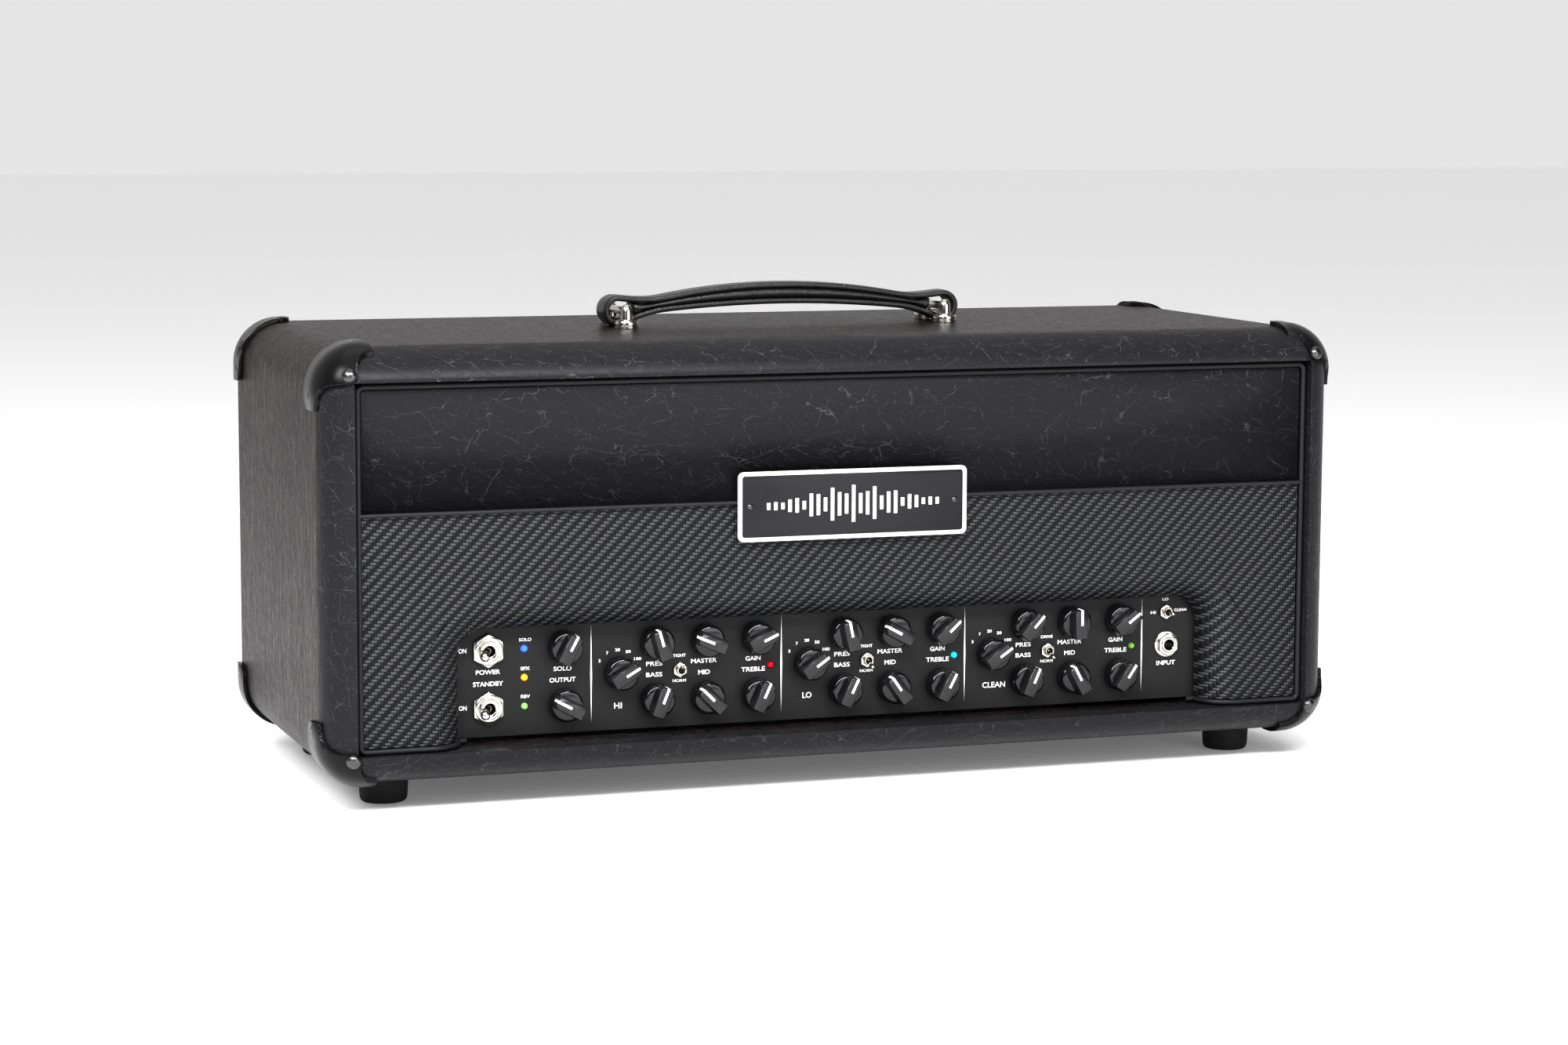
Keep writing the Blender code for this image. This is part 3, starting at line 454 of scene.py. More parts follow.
def weave_material():
    """Black twill: yarns that pass over two and under two, so that the floats step up to the right. The level
    floats are coloured lighter, a painted highlight, and the dips between yarns darker, painted shade.
    """
    n = Nodes("twill_weave", (0.02, 0.02, 0.022), 0.4)
    yarn = 1.85
    axes = n.axes()
    across = n.maths("MULTIPLY", axes["X"], 1.0 / (yarn * MM))
    up = n.maths("MULTIPLY", axes["Z"], 1.0 / (yarn * MM))
    column = n.maths("FLOOR", across)
    row = n.maths("FLOOR", up)
    step = n.maths("FLOORED_MODULO", n.maths("SUBTRACT", column, row), 4.0)
    over = n.maths("LESS_THAN", step, 1.5)
    warp_height = yarn_height(n, across, n.maths("SUBTRACT", column, up), 1.0)
    weft_height = yarn_height(n, up, n.maths("SUBTRACT", across, row), -3.0)
    values = {"Factor": over, "A": weft_height, "B": warp_height}
    height = n.node("ShaderNodeMix", values, data_type="FLOAT").outputs["Result"]
    n.bump(n.noise(2600.0, 2.0), 0.03)
    n.bump(height, 0.55)
    # Painted highlight: the level yarns' floats are coloured lighter than the upright ones, though all the
    # yarns are the same black.
    painted_yarn_glint = n.mix(over, (0.055, 0.056, 0.060), (0.008, 0.008, 0.009))
    # Painted shade: where a yarn dips under its neighbours it is coloured darker.
    n.colour(n.mix(n.ramp(height, [(0.15, 0.0), (0.75, 1.0)]), (0.003, 0.003, 0.0035), painted_yarn_glint))
    n.roughness(n.ramp(over, [(0.0, 0.30), (1.0, 0.46)]))
    return n.material


def yarn_height(n, side, along, centre):
    """Height of a yarn, round across its width and falling away at both ends of its float."""
    across = n.maths("SUBTRACT", n.maths("FRACT", side), 0.5)
    crown = n.maths("SUBTRACT", 1.0, n.maths("MULTIPLY", n.maths("MULTIPLY", across, across), 3.2))
    offset = n.maths("FLOORED_MODULO", n.maths("ADD", along, centre), 4.0)
    start = 1.0 if centre > 0 else 0.0
    from_middle = n.maths("ABSOLUTE", n.maths("SUBTRACT", offset, start))
    wrapped = n.maths("MINIMUM", from_middle, n.maths("SUBTRACT", 4.0, from_middle))
    fall = n.maths("SUBTRACT", 1.0, n.maths("MULTIPLY", n.maths("MULTIPLY", wrapped, wrapped), 0.6))
    return n.maths("MULTIPLY", crown, fall, True)


def satin_material(name, colour, low, high, grain, depth, metallic=0.0, specular=0.2):
    """Moulded or painted: a fine grain with patches of differing polish."""
    n = Nodes(name, colour, low, metallic, specular)
    n.roughness(n.ramp(n.noise(45.0, 4.0, 0.6), [(0.3, low), (0.7, high)]))
    n.bump(n.noise(grain, 3.0, 0.6), depth)
    lighter = tuple(min(1.0, value * 1.35) for value in colour)
    n.colour(n.mix(n.noise(28.0, 3.0), colour, lighter))
    return n.material


def chrome_material():
    n = Nodes("bright_plating", (0.54, 0.51, 0.47), 0.18, 1.0)
    n.roughness(n.ramp(n.noise(260.0, 4.0, 0.65), [(0.3, 0.12), (0.75, 0.26)]))
    n.bump(n.noise(500.0, 3.0), 0.008)
    return n.material


def leather_material():
    """Handle leather: pebbled grain with a slight sheen."""
    n = Nodes("handle_leather", (0.008, 0.008, 0.008), 0.3, 0.0, 0.4)
    n.bump(n.cells(900.0, n.warped(300.0, 0.001)), 0.08)
    n.bump(n.noise(160.0, 3.0, 0.6), 0.18)
    n.roughness(n.ramp(n.noise(120.0, 4.0, 0.6), [(0.3, 0.24), (0.7, 0.38)]))
    n.colour(n.mix(n.noise(70.0, 3.0), (0.006, 0.006, 0.006), (0.014, 0.0135, 0.0135)))
    return n.material


def paint_material(name, colour):
    """Printed ink."""
    n = Nodes(name, colour, 0.5)
    n.bump(n.noise(900.0, 2.0), 0.01)
    lower = tuple(value * 0.9 for value in colour)
    n.colour(n.mix(n.noise(400.0, 2.0), lower, colour))
    return n.material


def lamp_material(name, colour, glow):
    n = Nodes(name, colour, 0.2)
    n.constants({"Emission Color": (*colour, 1.0), "Emission Strength": glow})
    n.bump(n.noise(700.0, 2.0), 0.01)
    return n.material


def glass_material():
    n = Nodes("valve_glass", (0.95, 0.96, 0.95), 0.03)
    n.constants({"Transmission Weight": 1.0, "IOR": 1.12})
    n.bump(n.noise(60.0, 2.0), 0.02)
    return n.material


def board_material():
    """Green circuit board with a faint pattern of tracks."""
    n = Nodes("circuit_board", (0.015, 0.10, 0.04), 0.42)
    tracks = n.ramp(n.cells(260.0), [(0.38, 0.0), (0.44, 1.0)])
    n.colour(n.mix(tracks, (0.05, 0.20, 0.07), (0.012, 0.085, 0.035)))
    n.bump(tracks, 0.03)
    return n.material


def lamination_material():
    """A stack of steel sheets seen on edge."""
    n = Nodes("laminated_steel", (0.07, 0.07, 0.075), 0.45, 0.7)
    axes = n.axes()
    sheets = n.maths("FRACT", n.maths("MULTIPLY", axes["Y"], 1600.0))
    n.bump(sheets, 0.12)
    n.colour(n.mix(n.noise(90.0, 4.0), (0.05, 0.05, 0.055), (0.10, 0.10, 0.11)))
    return n.material


VINYL = vinyl_material()
WEAVE = weave_material()
PIPING = satin_material("welt_plastic", (0.014, 0.014, 0.015), 0.32, 0.42, 900.0, 0.02)
GUARD = satin_material("guard_plastic", (0.0045, 0.0045, 0.0048), 0.22, 0.28, 1300.0, 0.03, 0.0, 0.18)
RUBBER = satin_material("foot_rubber", (0.012, 0.012, 0.012), 0.62, 0.8, 700.0, 0.10)
PANEL = satin_material("panel_coat", (0.011, 0.011, 0.0115), 0.42, 0.5, 2200.0, 0.02)
KNOB = satin_material("knob_gloss", (0.005, 0.005, 0.006), 0.08, 0.14, 300.0, 0.004, 0.0, 0.5)
POINTER = satin_material("knob_bar", (0.012, 0.012, 0.013), 0.20, 0.28, 1600.0, 0.01, 0.0, 0.45)
MOULDED = satin_material("moulded_black", (0.013, 0.013, 0.014), 0.42, 0.55, 1100.0, 0.04)
BELL = satin_material("bell_paint", (0.022, 0.022, 0.024), 0.34, 0.44, 400.0, 0.05)
SCREW = satin_material("screw_black", (0.085, 0.083, 0.081), 0.28, 0.36, 800.0, 0.01, 1.0)
BADGE_FIELD = satin_material("badge_field", (0.014, 0.014, 0.016), 0.3, 0.4, 500.0, 0.05)
BADGE_EDGE = satin_material("badge_edge", (0.45, 0.45, 0.44), 0.32, 0.42, 900.0, 0.01, 0.35)
GREY_METAL = satin_material("electrode_grey", (0.22, 0.22, 0.22), 0.4, 0.55, 500.0, 0.03, 0.8)
CHROME = chrome_material()
LEATHER = leather_material()
INK = paint_material("panel_ink", (0.93, 0.93, 0.92))
GLASS = glass_material()
BOARD = board_material()
LAMINATED = lamination_material()
SOCKET = satin_material("socket_dark", (0.01, 0.01, 0.01), 0.6, 0.8, 300.0, 0.02)


# Cabinet and fascia
def make_cabinet():
    middle = at(0, 0, FOOT_HEIGHT + HEIGHT / 2)
    shell = box((WIDTH, DEPTH, HEIGHT), EDGE_RADIUS, 14)
    shell.transform(middle)
    clear_height = CEILING_Z - FLOOR_Z
    middle_z = (CEILING_Z + FLOOR_Z) / 2
    tunnel = box((WIDTH - 2 * WALL, DEPTH + 20, clear_height))
    mesh = combine(shell, [("DIFFERENCE", tunnel, at(0, 0, middle_z))], 0.7)
    piece("cabinet_cover", mesh, VINYL, ("cabinet_shell",))
    bars = []
    for y in (BOARD_FRONT + BOARD_THICK + GAP + BATTEN / 2, REAR_PANEL_Y - SHEET - GAP - BATTEN / 2):
        upright = box((BATTEN, BATTEN, clear_height), 0.6)
        for side in (-1, 1):
            bars.append((upright, at(side * (WIDTH / 2 - WALL - BATTEN / 2), y, middle_z)))
        crossbar = box((WIDTH - 2 * WALL - 2 * BATTEN, BATTEN, BATTEN), 0.6)
        bars.append((crossbar, at(0, y, CEILING_Z - BATTEN / 2)))
    piece("cabinet_battens", joined(bars), MOULDED)


def arch_points(steps=18):
    base = FASCIA_BOTTOM + SEAT
    left = arc((-ARCH_HALF + ARCH_CORNER, ARCH_TOP - ARCH_CORNER), ARCH_CORNER, 180, 90, steps)
    right = arc((ARCH_HALF - ARCH_CORNER, ARCH_TOP - ARCH_CORNER), ARCH_CORNER, 90, 0, steps)
    return [(-ARCH_HALF, base)] + left + right + [(ARCH_HALF, base)]


def rolled(mesh, arch):
    """Rounds the front edge of the arch back to the control panel."""
    bm = bmesh.new()
    bm.from_mesh(mesh)
    corners = [Vector((x * MM, BOARD_FRONT * MM, z * MM)) for x, z in arch]
    chosen = {v for v in bm.verts if any((v.co - corner).length < 0.00001 for corner in corners)}
    base = (FASCIA_BOTTOM + SEAT) * MM
    edges = [e for e in bm.edges if set(e.verts) <= chosen and len(e.link_faces) == 2
             and abs(e.calc_face_angle(0.0)) > 1.0 and (e.verts[0].co + e.verts[1].co).z / 2 > base + 0.00001]
    bevel_edges(bm, edges, ROLL_RADIUS, 16)
    return mesh_of(bm)


def make_fascia():
    half = FASCIA_HALF - SEAT
    top = FASCIA_TOP - SEAT
    base = FASCIA_BOTTOM + SEAT
    corner = 2.0
    upper_outline = ([(half, SEAM_Z + 0.3)] + arc((half - corner, top - corner), corner, 0, 90, 5)
                     + arc((-half + corner, top - corner), corner, 90, 180, 5) + [(-half, SEAM_Z + 0.3)])
    upper = plate([upper_outline], BOARD_THICK, BOARD_FRONT)
    piece("fascia_upper", combine(upper, [], 0.6), VINYL)
    arch = arch_points()
    outline = [(half, base), (half, SEAM_Z - 0.3), (-half, SEAM_Z - 0.3), (-half, base)] + arch
    lower = rolled(plate([outline], ROLL_RADIUS + 0.5, BOARD_FRONT), arch)
    piece("fascia_lower", lower, WEAVE, ("fascia_board",))


def piping_path():
    half = FASCIA_HALF - PIPING_RADIUS
    low = FASCIA_BOTTOM + PIPING_RADIUS
    high = FASCIA_TOP - PIPING_RADIUS
    corner = FASCIA_CORNER - PIPING_RADIUS
    roll = arc((ARCH_HALF + ROLL_RADIUS, ROLL_RADIUS), ROLL_RADIUS, 180, 270, 16)
    left = [(-x, FASCIA_Y + y, low) for x, y in roll]
    right = [(x, FASCIA_Y + y, low) for x, y in roll]
    edge = (arc((-half + corner, low + corner), corner, 270, 180, 8)
            + arc((-half + corner, high - corner), corner, 180, 90, 8)
            + arc((half - corner, high - corner), corner, 90, 0, 8)
            + arc((half - corner, low + corner), corner, 0, -90, 8))
    ends_y = FASCIA_Y + ROLL_RADIUS + 0.8
    round_front = [(x, FASCIA_Y, z) for x, z in edge]
    start, end = (-PIPING_TUCK, ends_y, low), (PIPING_TUCK, ends_y, low)
    return [start] + left + round_front + right[::-1] + [end]


def make_piping():
    piece("fascia_welt", tube(piping_path(), PIPING_RADIUS, 5), PIPING,
          ("fascia_piping",), sharp=60)
    half = FASCIA_HALF - PIPING_RADIUS
    seam_y = BOARD_FRONT - DIVIDER_RADIUS - GAP
    divider = tube([(-half, seam_y, SEAM_Z), (half, seam_y, SEAM_Z)], DIVIDER_RADIUS, 5)
    piece("fascia_divider", divider, PIPING, sharp=60)


def make_badge():
    """A plain plate: dark field, light rim, two screws and a row of level bars."""
    low, high = BADGE_Z - BADGE_HALF_HEIGHT, BADGE_Z + BADGE_HALF_HEIGHT
    front = BOARD_FRONT - 2 * DIVIDER_RADIUS - 2 * GAP - BADGE_THICK
    field = plate([round_rect(70.0, low + 1.5, high - 1.5, 3.0)], 1.4, front + 0.6)
    piece("badge_field", combine(field, [], 0.2), BADGE_FIELD, ("badge_plate",))
    rim = plate([round_rect(71.5, low, high, 3.4), round_rect(69.0, low + 2.5, high - 2.5, 1.6)],
                2.0, front)
    piece("badge_rim", combine(rim, [], 0.35), BADGE_EDGE)
    bars = []
    middle = (low + high) / 2
    for index in range(-12, 13):
        height = 4.0 + 18.0 * math.cos(index * math.pi / 26) ** 2 * abs(math.cos(index * 1.1))
        bars.append((box((2.4, 0.8, height), 0.3, 2), at(index * 4.4, front + 0.3, middle)))
    piece("badge_bars", joined(bars), BADGE_EDGE)
    screw = screw_head(1.9, 0.9)
    pair = [(screw, at(side * 64.0, front + 0.6, middle, TO_FRONT)) for side in (-1, 1)]
    piece("badge_screws", joined(pair), SCREW)


def screw_head(radius, rise):
    """A domed head along Z with a cross recess."""
    dome = lathe([(0, rise), (radius * 0.35, rise * 0.96), (radius * 0.65, rise * 0.78),
                  (radius * 0.88, rise * 0.42), (radius, 0.0), (radius, -0.2), (0, -0.2)], 32)
    slot = box((radius, radius * 0.22, rise * 1.2))
    cross = Matrix.Rotation(math.radians(90), 4, "Z")
    lift = at(0, 0, rise * 1.05)
    return combine(dome, [("DIFFERENCE", slot, lift), ("DIFFERENCE", slot.copy(), lift @ cross)])


# Guards and feet
GUARD_GAP, GUARD_THICK = 0.3, 2.4
GUARD_TOP, GUARD_SIDE = (30.5, 11.0, 10.0), (36.0, 16.0, 18.0)
GUARD_DEPTH = 40.0
RIVET_RADIUS = 4.3


def guard_outline(reach, along, deep):
    """What one leg of a guard covers, as (along the cabinet, back from its front) points."""
    notch = []
    for step in range(15):
        angle = math.radians(180 - 90 * step / 14)
        notch.append((reach + along * math.cos(angle), deep * math.sin(angle)))
    past, tip_radius = 6, 8
    tip = arc((reach - tip_radius, GUARD_DEPTH - tip_radius), tip_radius, 0, 90, 8)
    return [(-past, -past), (reach - along, -past)] + notch + tip + [(-past, GUARD_DEPTH)]


def guard_mesh():
    """The guard of the front top left corner, from the cabinet's sharp corner."""
    outer = GUARD_GAP + GUARD_THICK
    size = 200.0
    middle = at(size / 2, size / 2, -size / 2)
    shell = box((size + 2 * outer,) * 3, EDGE_RADIUS + outer, 14)
    shell.transform(middle)
    hollow = box((size + 2 * GUARD_GAP,) * 3, EDGE_RADIUS + GUARD_GAP, 14)
    span = 80.0
    across = plate([guard_outline(*GUARD_TOP)], span, -span / 2)
    down = plate([guard_outline(*GUARD_SIDE)], span, -span / 2)
    edge_x, edge_z = GUARD_TOP[0] - GUARD_TOP[1], GUARD_SIDE[1] - GUARD_SIDE[0]
    round_off, past = 6.0, 4
    corner = (arc((edge_x - round_off, edge_z + round_off), round_off, 0, -90, 8)
              + [(edge_x - round_off, edge_z - past), (edge_x + past, edge_z - past),
                 (edge_x + past, edge_z + round_off)])
    nibble = plate([corner], 16.0, -8.0)
    down_side = Matrix(((0, 1, 0, 0), (0, 0, 1, 0), (-1, 0, 0, 0), (0, 0, 0, 1)))
    return combine(shell, [("DIFFERENCE", hollow, middle), ("INTERSECT", across, TO_BACK),
                           ("INTERSECT", down, down_side), ("DIFFERENCE", nibble, at(0, 0, 0))], 0.4)


def make_guards():
    pattern = guard_mesh()
    dome = [(radius, rise * 0.75) for radius, rise in arc((0, 0), RIVET_RADIUS, 0, 90, 10)][::-1]
    rivet = lathe([(0.0, dome[0][1])] + dome[1:] + [(RIVET_RADIUS, -1.0), (0, -1.0)], 40)
    flush = lathe([(0, -0.35), (0.8, -0.35), (1.1, 0.15), (2.7, 0.2), (3.1, 0.0), (3.3, -0.5), (0, -0.5)], 32)
    outer = EDGE_RADIUS + GUARD_GAP + GUARD_THICK
    for high, z_name in ((True, "top"), (False, "bottom")):
        for front, y_name in ((True, "front"), (False, "rear")):
            for left, x_name in ((True, "left"), (False, "right")):
                name = f"{z_name}_{y_name}_{x_name}_guard"
                mirror = Matrix.Diagonal((1 if left else -1, 1 if front else -1, 1 if high else -1, 1))
                corner = at(-WIDTH / 2 if left else WIDTH / 2, FRONT_Y if front else BACK_Y,
                            TOP_Z if high else FOOT_HEIGHT)
                shell = outward(joined([(pattern, corner @ mirror)]))
                piece(f"{name}_shell", shell, GUARD, (name,))
                lean_x, lean_z = 10.4, 10.6 if high else 9.0
                lean_y = math.sqrt(outer ** 2 - lean_x ** 2 - lean_z ** 2)
                normal = Vector((-lean_x, -lean_y, lean_z)).normalized()
                centre = Vector((EDGE_RADIUS, EDGE_RADIUS, -EDGE_RADIUS))
                spots = [(rivet, centre + normal * (outer - 0.4), normal),
                         (flush, Vector((-GUARD_GAP - GUARD_THICK, 30.0, -28.5)), Vector((-1, 0, 0))),
                         (flush, Vector((26.5, 30.0, GUARD_GAP + GUARD_THICK)), Vector((0, 0, 1)))]
                rivets = []
                for head, spot, facing in spots:
                    turn = facing.to_track_quat("Z", "Y").to_matrix().to_4x4()
                    rivets.append((head, corner @ mirror @ at(*spot, turn)))
                heads = outward(joined(rivets))
                piece(f"{name}_rivets", heads, SCREW)


FOOT_X, FOOT_Y = 271.0, 79.7


def make_feet():
    profile = [(0, FOOT_HEIGHT - GAP), (14.2, FOOT_HEIGHT - GAP), (14.7, FOOT_HEIGHT - 1.0), (14.4, 12.0),
               (13.9, 3.0), (13.3, 1.0), (12.2, 0.15), (11.4, 0.0), (7.5, 0.0), (6.9, 0.4), (6.6, 1.2),
               (6.6, 6.0), (0, 6.0)]
    for front, y in (("front", -FOOT_Y), ("rear", FOOT_Y)):
        for side, x in (("left", -FOOT_X), ("right", FOOT_X)):
            name = f"{front}_{side}_foot"
            piece(f"{name}_rubber", lathe(profile, 56), RUBBER, (name,), at(x, y, 0))
            washer = lathe([(0, 4.8), (2.2, 4.6), (2.8, 4.9), (5.9, 4.9), (5.9, 6.1), (0, 6.1)], 32)
            piece(f"{name}_washer", washer, CHROME, (), at(x, y, 0))


# Handle
POST_X, POST_Y = 103.5, 16.2
PIN_RADIUS, PIN_RISE = 2.5, 9.9
LOOP_X, LOOP_RISE, LOOP_OUTER = 106.0, 10.1, 9.6
STRAP_CREST, STRAP_THICK = 26.2, 13.4
STRAP_SAG, WAIST_THICK, WAIST_X = 9.4, 9.2, 88.0
STRAP_HALF = 9.5
BAND_THICK = 3.7


def make_handle_mounts():
    base = TOP_Z + GAP
    post = lathe([
        (0, 14.2), (1.0, 14.1), (2.0, 13.6), (2.8, 12.7), (3.3, 11.6), (3.5, 10.2), (3.8, 5.2), (4.2, 4.7),
        (6.1, 4.5), (6.8, 4.2), (7.1, 3.7), (7.1, 2.3), (6.6, 2.1), (6.6, 1.6), (7.1, 1.4),
        (7.1, 0.0), (0, 0.0)], 48)
    for side, x in (("left", -POST_X), ("right", POST_X)):
        pin = lathe([(0, 0), (PIN_RADIUS, 0), (PIN_RADIUS, 2 * POST_Y), (0, 2 * POST_Y)], 32)
        mesh = joined([(post, at(x, -POST_Y, base)), (post, at(x, POST_Y, base)),
                       (pin, at(x, POST_Y, base + PIN_RISE, TO_FRONT))])
        piece(f"{side}_handle_posts", mesh, CHROME, (f"{side}_handle_mount",))


def strap_height(x, crest, waist):
    return crest - (crest - waist) * (x / WAIST_X) ** 2


def band_path():
    """The middle of the leather band, once round the strap, as (x, height above the cabinet)."""
    half = BAND_THICK / 2
    top_waist = STRAP_CREST - STRAP_SAG
    low_waist = top_waist - WAIST_THICK
    stations = [WAIST_X * (1 - 2 * i / 40) for i in range(41)]
    upper = [(x, strap_height(x, STRAP_CREST, top_waist) - half) for x in stations]
    lower = [(x, strap_height(x, STRAP_CREST - STRAP_THICK, low_waist) + half) for x in reversed(stations)]
    radius = LOOP_OUTER - half
    left = [(-x, z) for x, z in arc((LOOP_X, LOOP_RISE), radius, 100, -130, 36)]
    right = arc((LOOP_X, LOOP_RISE), radius, -130, 100, 36)
    return upper + left + lower + right


def swept(path, section, closed=True):
    """A section of (outward, depth) points, or one for each place, carried along an (x, z) path."""
    count = len(path)
    bm = bmesh.new()
    rings = []
    for index, (x, z) in enumerate(path):
        before = path[index - 1] if closed or index else path[0]
        after = path[(index + 1) % count] if closed or index < count - 1 else path[-1]
        run = Vector((after[0] - before[0], after[1] - before[1])).normalized()
        outward = Vector((run.y, -run.x))
        shape = section[index] if isinstance(section[0], list) else section
        rings.append([bm.verts.new(Vector((x + outward.x * o, y, z + outward.y * o)) * MM) for o, y in shape])
    pairs = list(zip(rings, rings[1:] + rings[:1])) if closed else list(zip(rings, rings[1:]))
    size = len(rings[0])
    for lower, upper in pairs:
        for index in range(size):
            following = (index + 1) % size
            bm.faces.new((lower[index], lower[following], upper[following], upper[index]))
    if not closed:
        bm.faces.new(rings[0])
        bm.faces.new(rings[-1])
    return mesh_of(bm)


def smooth_path(path, rounds=3):
    """The same closed path with its corners eased."""
    for _ in range(rounds):
        count = len(path)
        path = [((path[i - 1][0] + 2 * path[i][0] + path[(i + 1) % count][0]) / 4,
                 (path[i - 1][1] + 2 * path[i][1] + path[(i + 1) % count][1]) / 4) for i in range(count)]
    return path


def pad_run():
    """The stuffed body between the two runs of band, as (x, middle height, half thickness)."""
    middle = STRAP_CREST - STRAP_THICK / 2
    middle_waist = STRAP_CREST - STRAP_SAG - WAIST_THICK / 2
    run = [(-97.0, LOOP_RISE + 0.8, 4.4), (-95.0, LOOP_RISE + 1.1, 4.0), (-92.0, LOOP_RISE + 1.6, 3.0)]
    for index in range(61):
        x = WAIST_X * (index / 30 - 1)
        thick = STRAP_THICK - (STRAP_THICK - WAIST_THICK) * (x / WAIST_X) ** 2
        run.append((x, strap_height(x, middle, middle_waist), thick / 2 - BAND_THICK * 0.8))
    return run + [(-x, z, half) for x, z, half in reversed(run[:3])]


def pad_section(half_thick):
    """A rounded rectangle of (outward, depth) points, a little narrower than the band."""
    points = []
    for step in range(24):
        angle = 2 * math.pi * step / 24
        c, s = math.cos(angle), math.sin(angle)
        points.append((half_thick * math.copysign(abs(c) ** 0.7, c),
                       STRAP_HALF * 0.97 * math.copysign(abs(s) ** 0.6, s)))
    return points


def make_handle_strap():
    half = BAND_THICK / 2
    edge = STRAP_HALF - 0.1
    shoulder, inset = half * 0.72, edge - 0.25
    band = [(half, -edge + 1.0), (half + 0.25, 0.0), (half, edge - 1.0), (shoulder, inset), (0.0, edge),
            (-shoulder, inset), (-half, edge - 1.0), (-half, -edge + 1.0), (-shoulder, -inset),
            (0.0, -edge), (shoulder, -inset)]
    wrapped = swept(smooth_path(band_path()), band)
    ride = at(0, 0, TOP_Z)
    wrap = piece("strap_band", wrapped, LEATHER, ("handle_strap",), ride, "handle_strap")
    run = pad_run()
    stuffed = swept([(x, z) for x, z, _ in run], [pad_section(half) for _, _, half in run], False)
    pad = piece("strap_pad", stuffed, LEATHER, (), ride, "handle_strap", 60)
    for part in (wrap, pad):
        rounder = part.modifiers.new("rounder", "SUBSURF")
        rounder.levels = 1
        rounder.render_levels = 1


# Controls
KNOB_LIFT, KNOB_HEIGHT, BAR_TIP = 0.8, 15.4, 9.25


def knob_meshes():
    """A round skirt, its pointer bar and the white line on the bar, along Z with the pointer towards Y."""
    skirt = lathe([(0, 8.6), (7.6, 8.6), (8.6, 8.4), (9.3, 7.8), (9.65, 7.0), (9.75, 6.0), (9.75, 0.6),
                   (9.5, 0.1), (9.2, 0.0), (3.5, 0.0), (3.5, 6.0), (0, 6.0)], 64)
    bar_profile = [(-4.6, -9.2), (-4.6, 7.4), (-3.4, BAR_TIP), (3.4, BAR_TIP), (4.6, 7.4), (4.6, -9.2)]
    bm = bmesh.new()
    low = [bm.verts.new(Vector((x, y, 6.5)) * MM) for x, y in bar_profile]
    high = [bm.verts.new(Vector((x * 0.86, y * 0.97, KNOB_HEIGHT)) * MM) for x, y in bar_profile]
    bm.faces.new(low)
    bm.faces.new(high)
    for index in range(len(low)):
        following = (index + 1) % len(low)
        bm.faces.new((low[index], low[following], high[following], high[index]))
    bar = combine(mesh_of(bm), [], 0.55)
    return skirt, bar, pointer_line()


def pointer_line():
    """The line: from the middle of the bar's top to its tip and down the nose."""
    half = 0.75
    top = KNOB_HEIGHT + 0.06
    nose = 0.97 * BAR_TIP
    path = [(-0.4, top), (nose - 0.3, top), (nose + 0.12, 15.1), (9.34, 9.0)]
    bm = bmesh.new()
    rows = []
    for y, z in path:
        rows.append([bm.verts.new(Vector((side * half, y, z)) * MM) for side in (-1, 1)])
    for lower, upper in zip(rows, rows[1:]):
        bm.faces.new((lower[0], lower[1], upper[1], upper[0]))
    shell = placed(mesh_of(bm))
    thick = shell.modifiers.new("thick", "SOLIDIFY")
    thick.thickness = 0.2 * MM
    thick.offset = -1.0
    return baked(shell)


def knob_places():
    places = [("solo_knob", OUTPUT_X, ROW_UPPER, 29), ("output_knob", OUTPUT_X, ROW_LOWER, -61)]
    for index, channel in enumerate(CHANNELS):
        for control, offset, row, angles in CHANNEL_KNOBS:
            x = CHANNEL_LEFT + index * CHANNEL_PITCH + offset
            places.append((f"{channel}_{control}_knob", x, row, angles[index]))
    return places


def make_knobs():
    skirt, bar, line = knob_meshes()
    for name, x, z, angle in knob_places():
        spin = Matrix.Rotation(math.radians(angle), 4, "Y") @ TO_FRONT
        place = at(x, PANEL_Y - KNOB_LIFT, z, spin)
        piece(f"{name}_skirt", skirt.copy(), KNOB, (name,), place, name)
        piece(f"{name}_bar", bar.copy(), POINTER, (), place, name)
        piece(f"{name}_line", line.copy(), INK, (), place, name)


def bat_mesh(length, neck, ball, tip):
    """A toggle's lever along Z from its pivot ball at the origin to its round tip."""
    top = arc((0, length), tip, 75, -45, 8)
    root = arc((0, 0), ball, 50, -70, 8)
    waist = [(neck * 1.25, length - 2.0 * tip), (neck * 1.05, length - 3.2 * tip), (neck, ball * 1.2)]
    return lathe([(0, length + tip)] + top + waist + root + [(0, -ball)], 40)


def rod(radius, length):
    return lathe([(0, 0), (radius, 0), (radius, length), (0, length)])


def pierced_nut(radius, height, bevel, bore, length, start):
    """A six-sided nut along Z with its bore cut from start upwards."""
    blank = prism(radius, height, bevel)
    return combine(blank, [("DIFFERENCE", rod(bore, length), at(0, 0, start))])


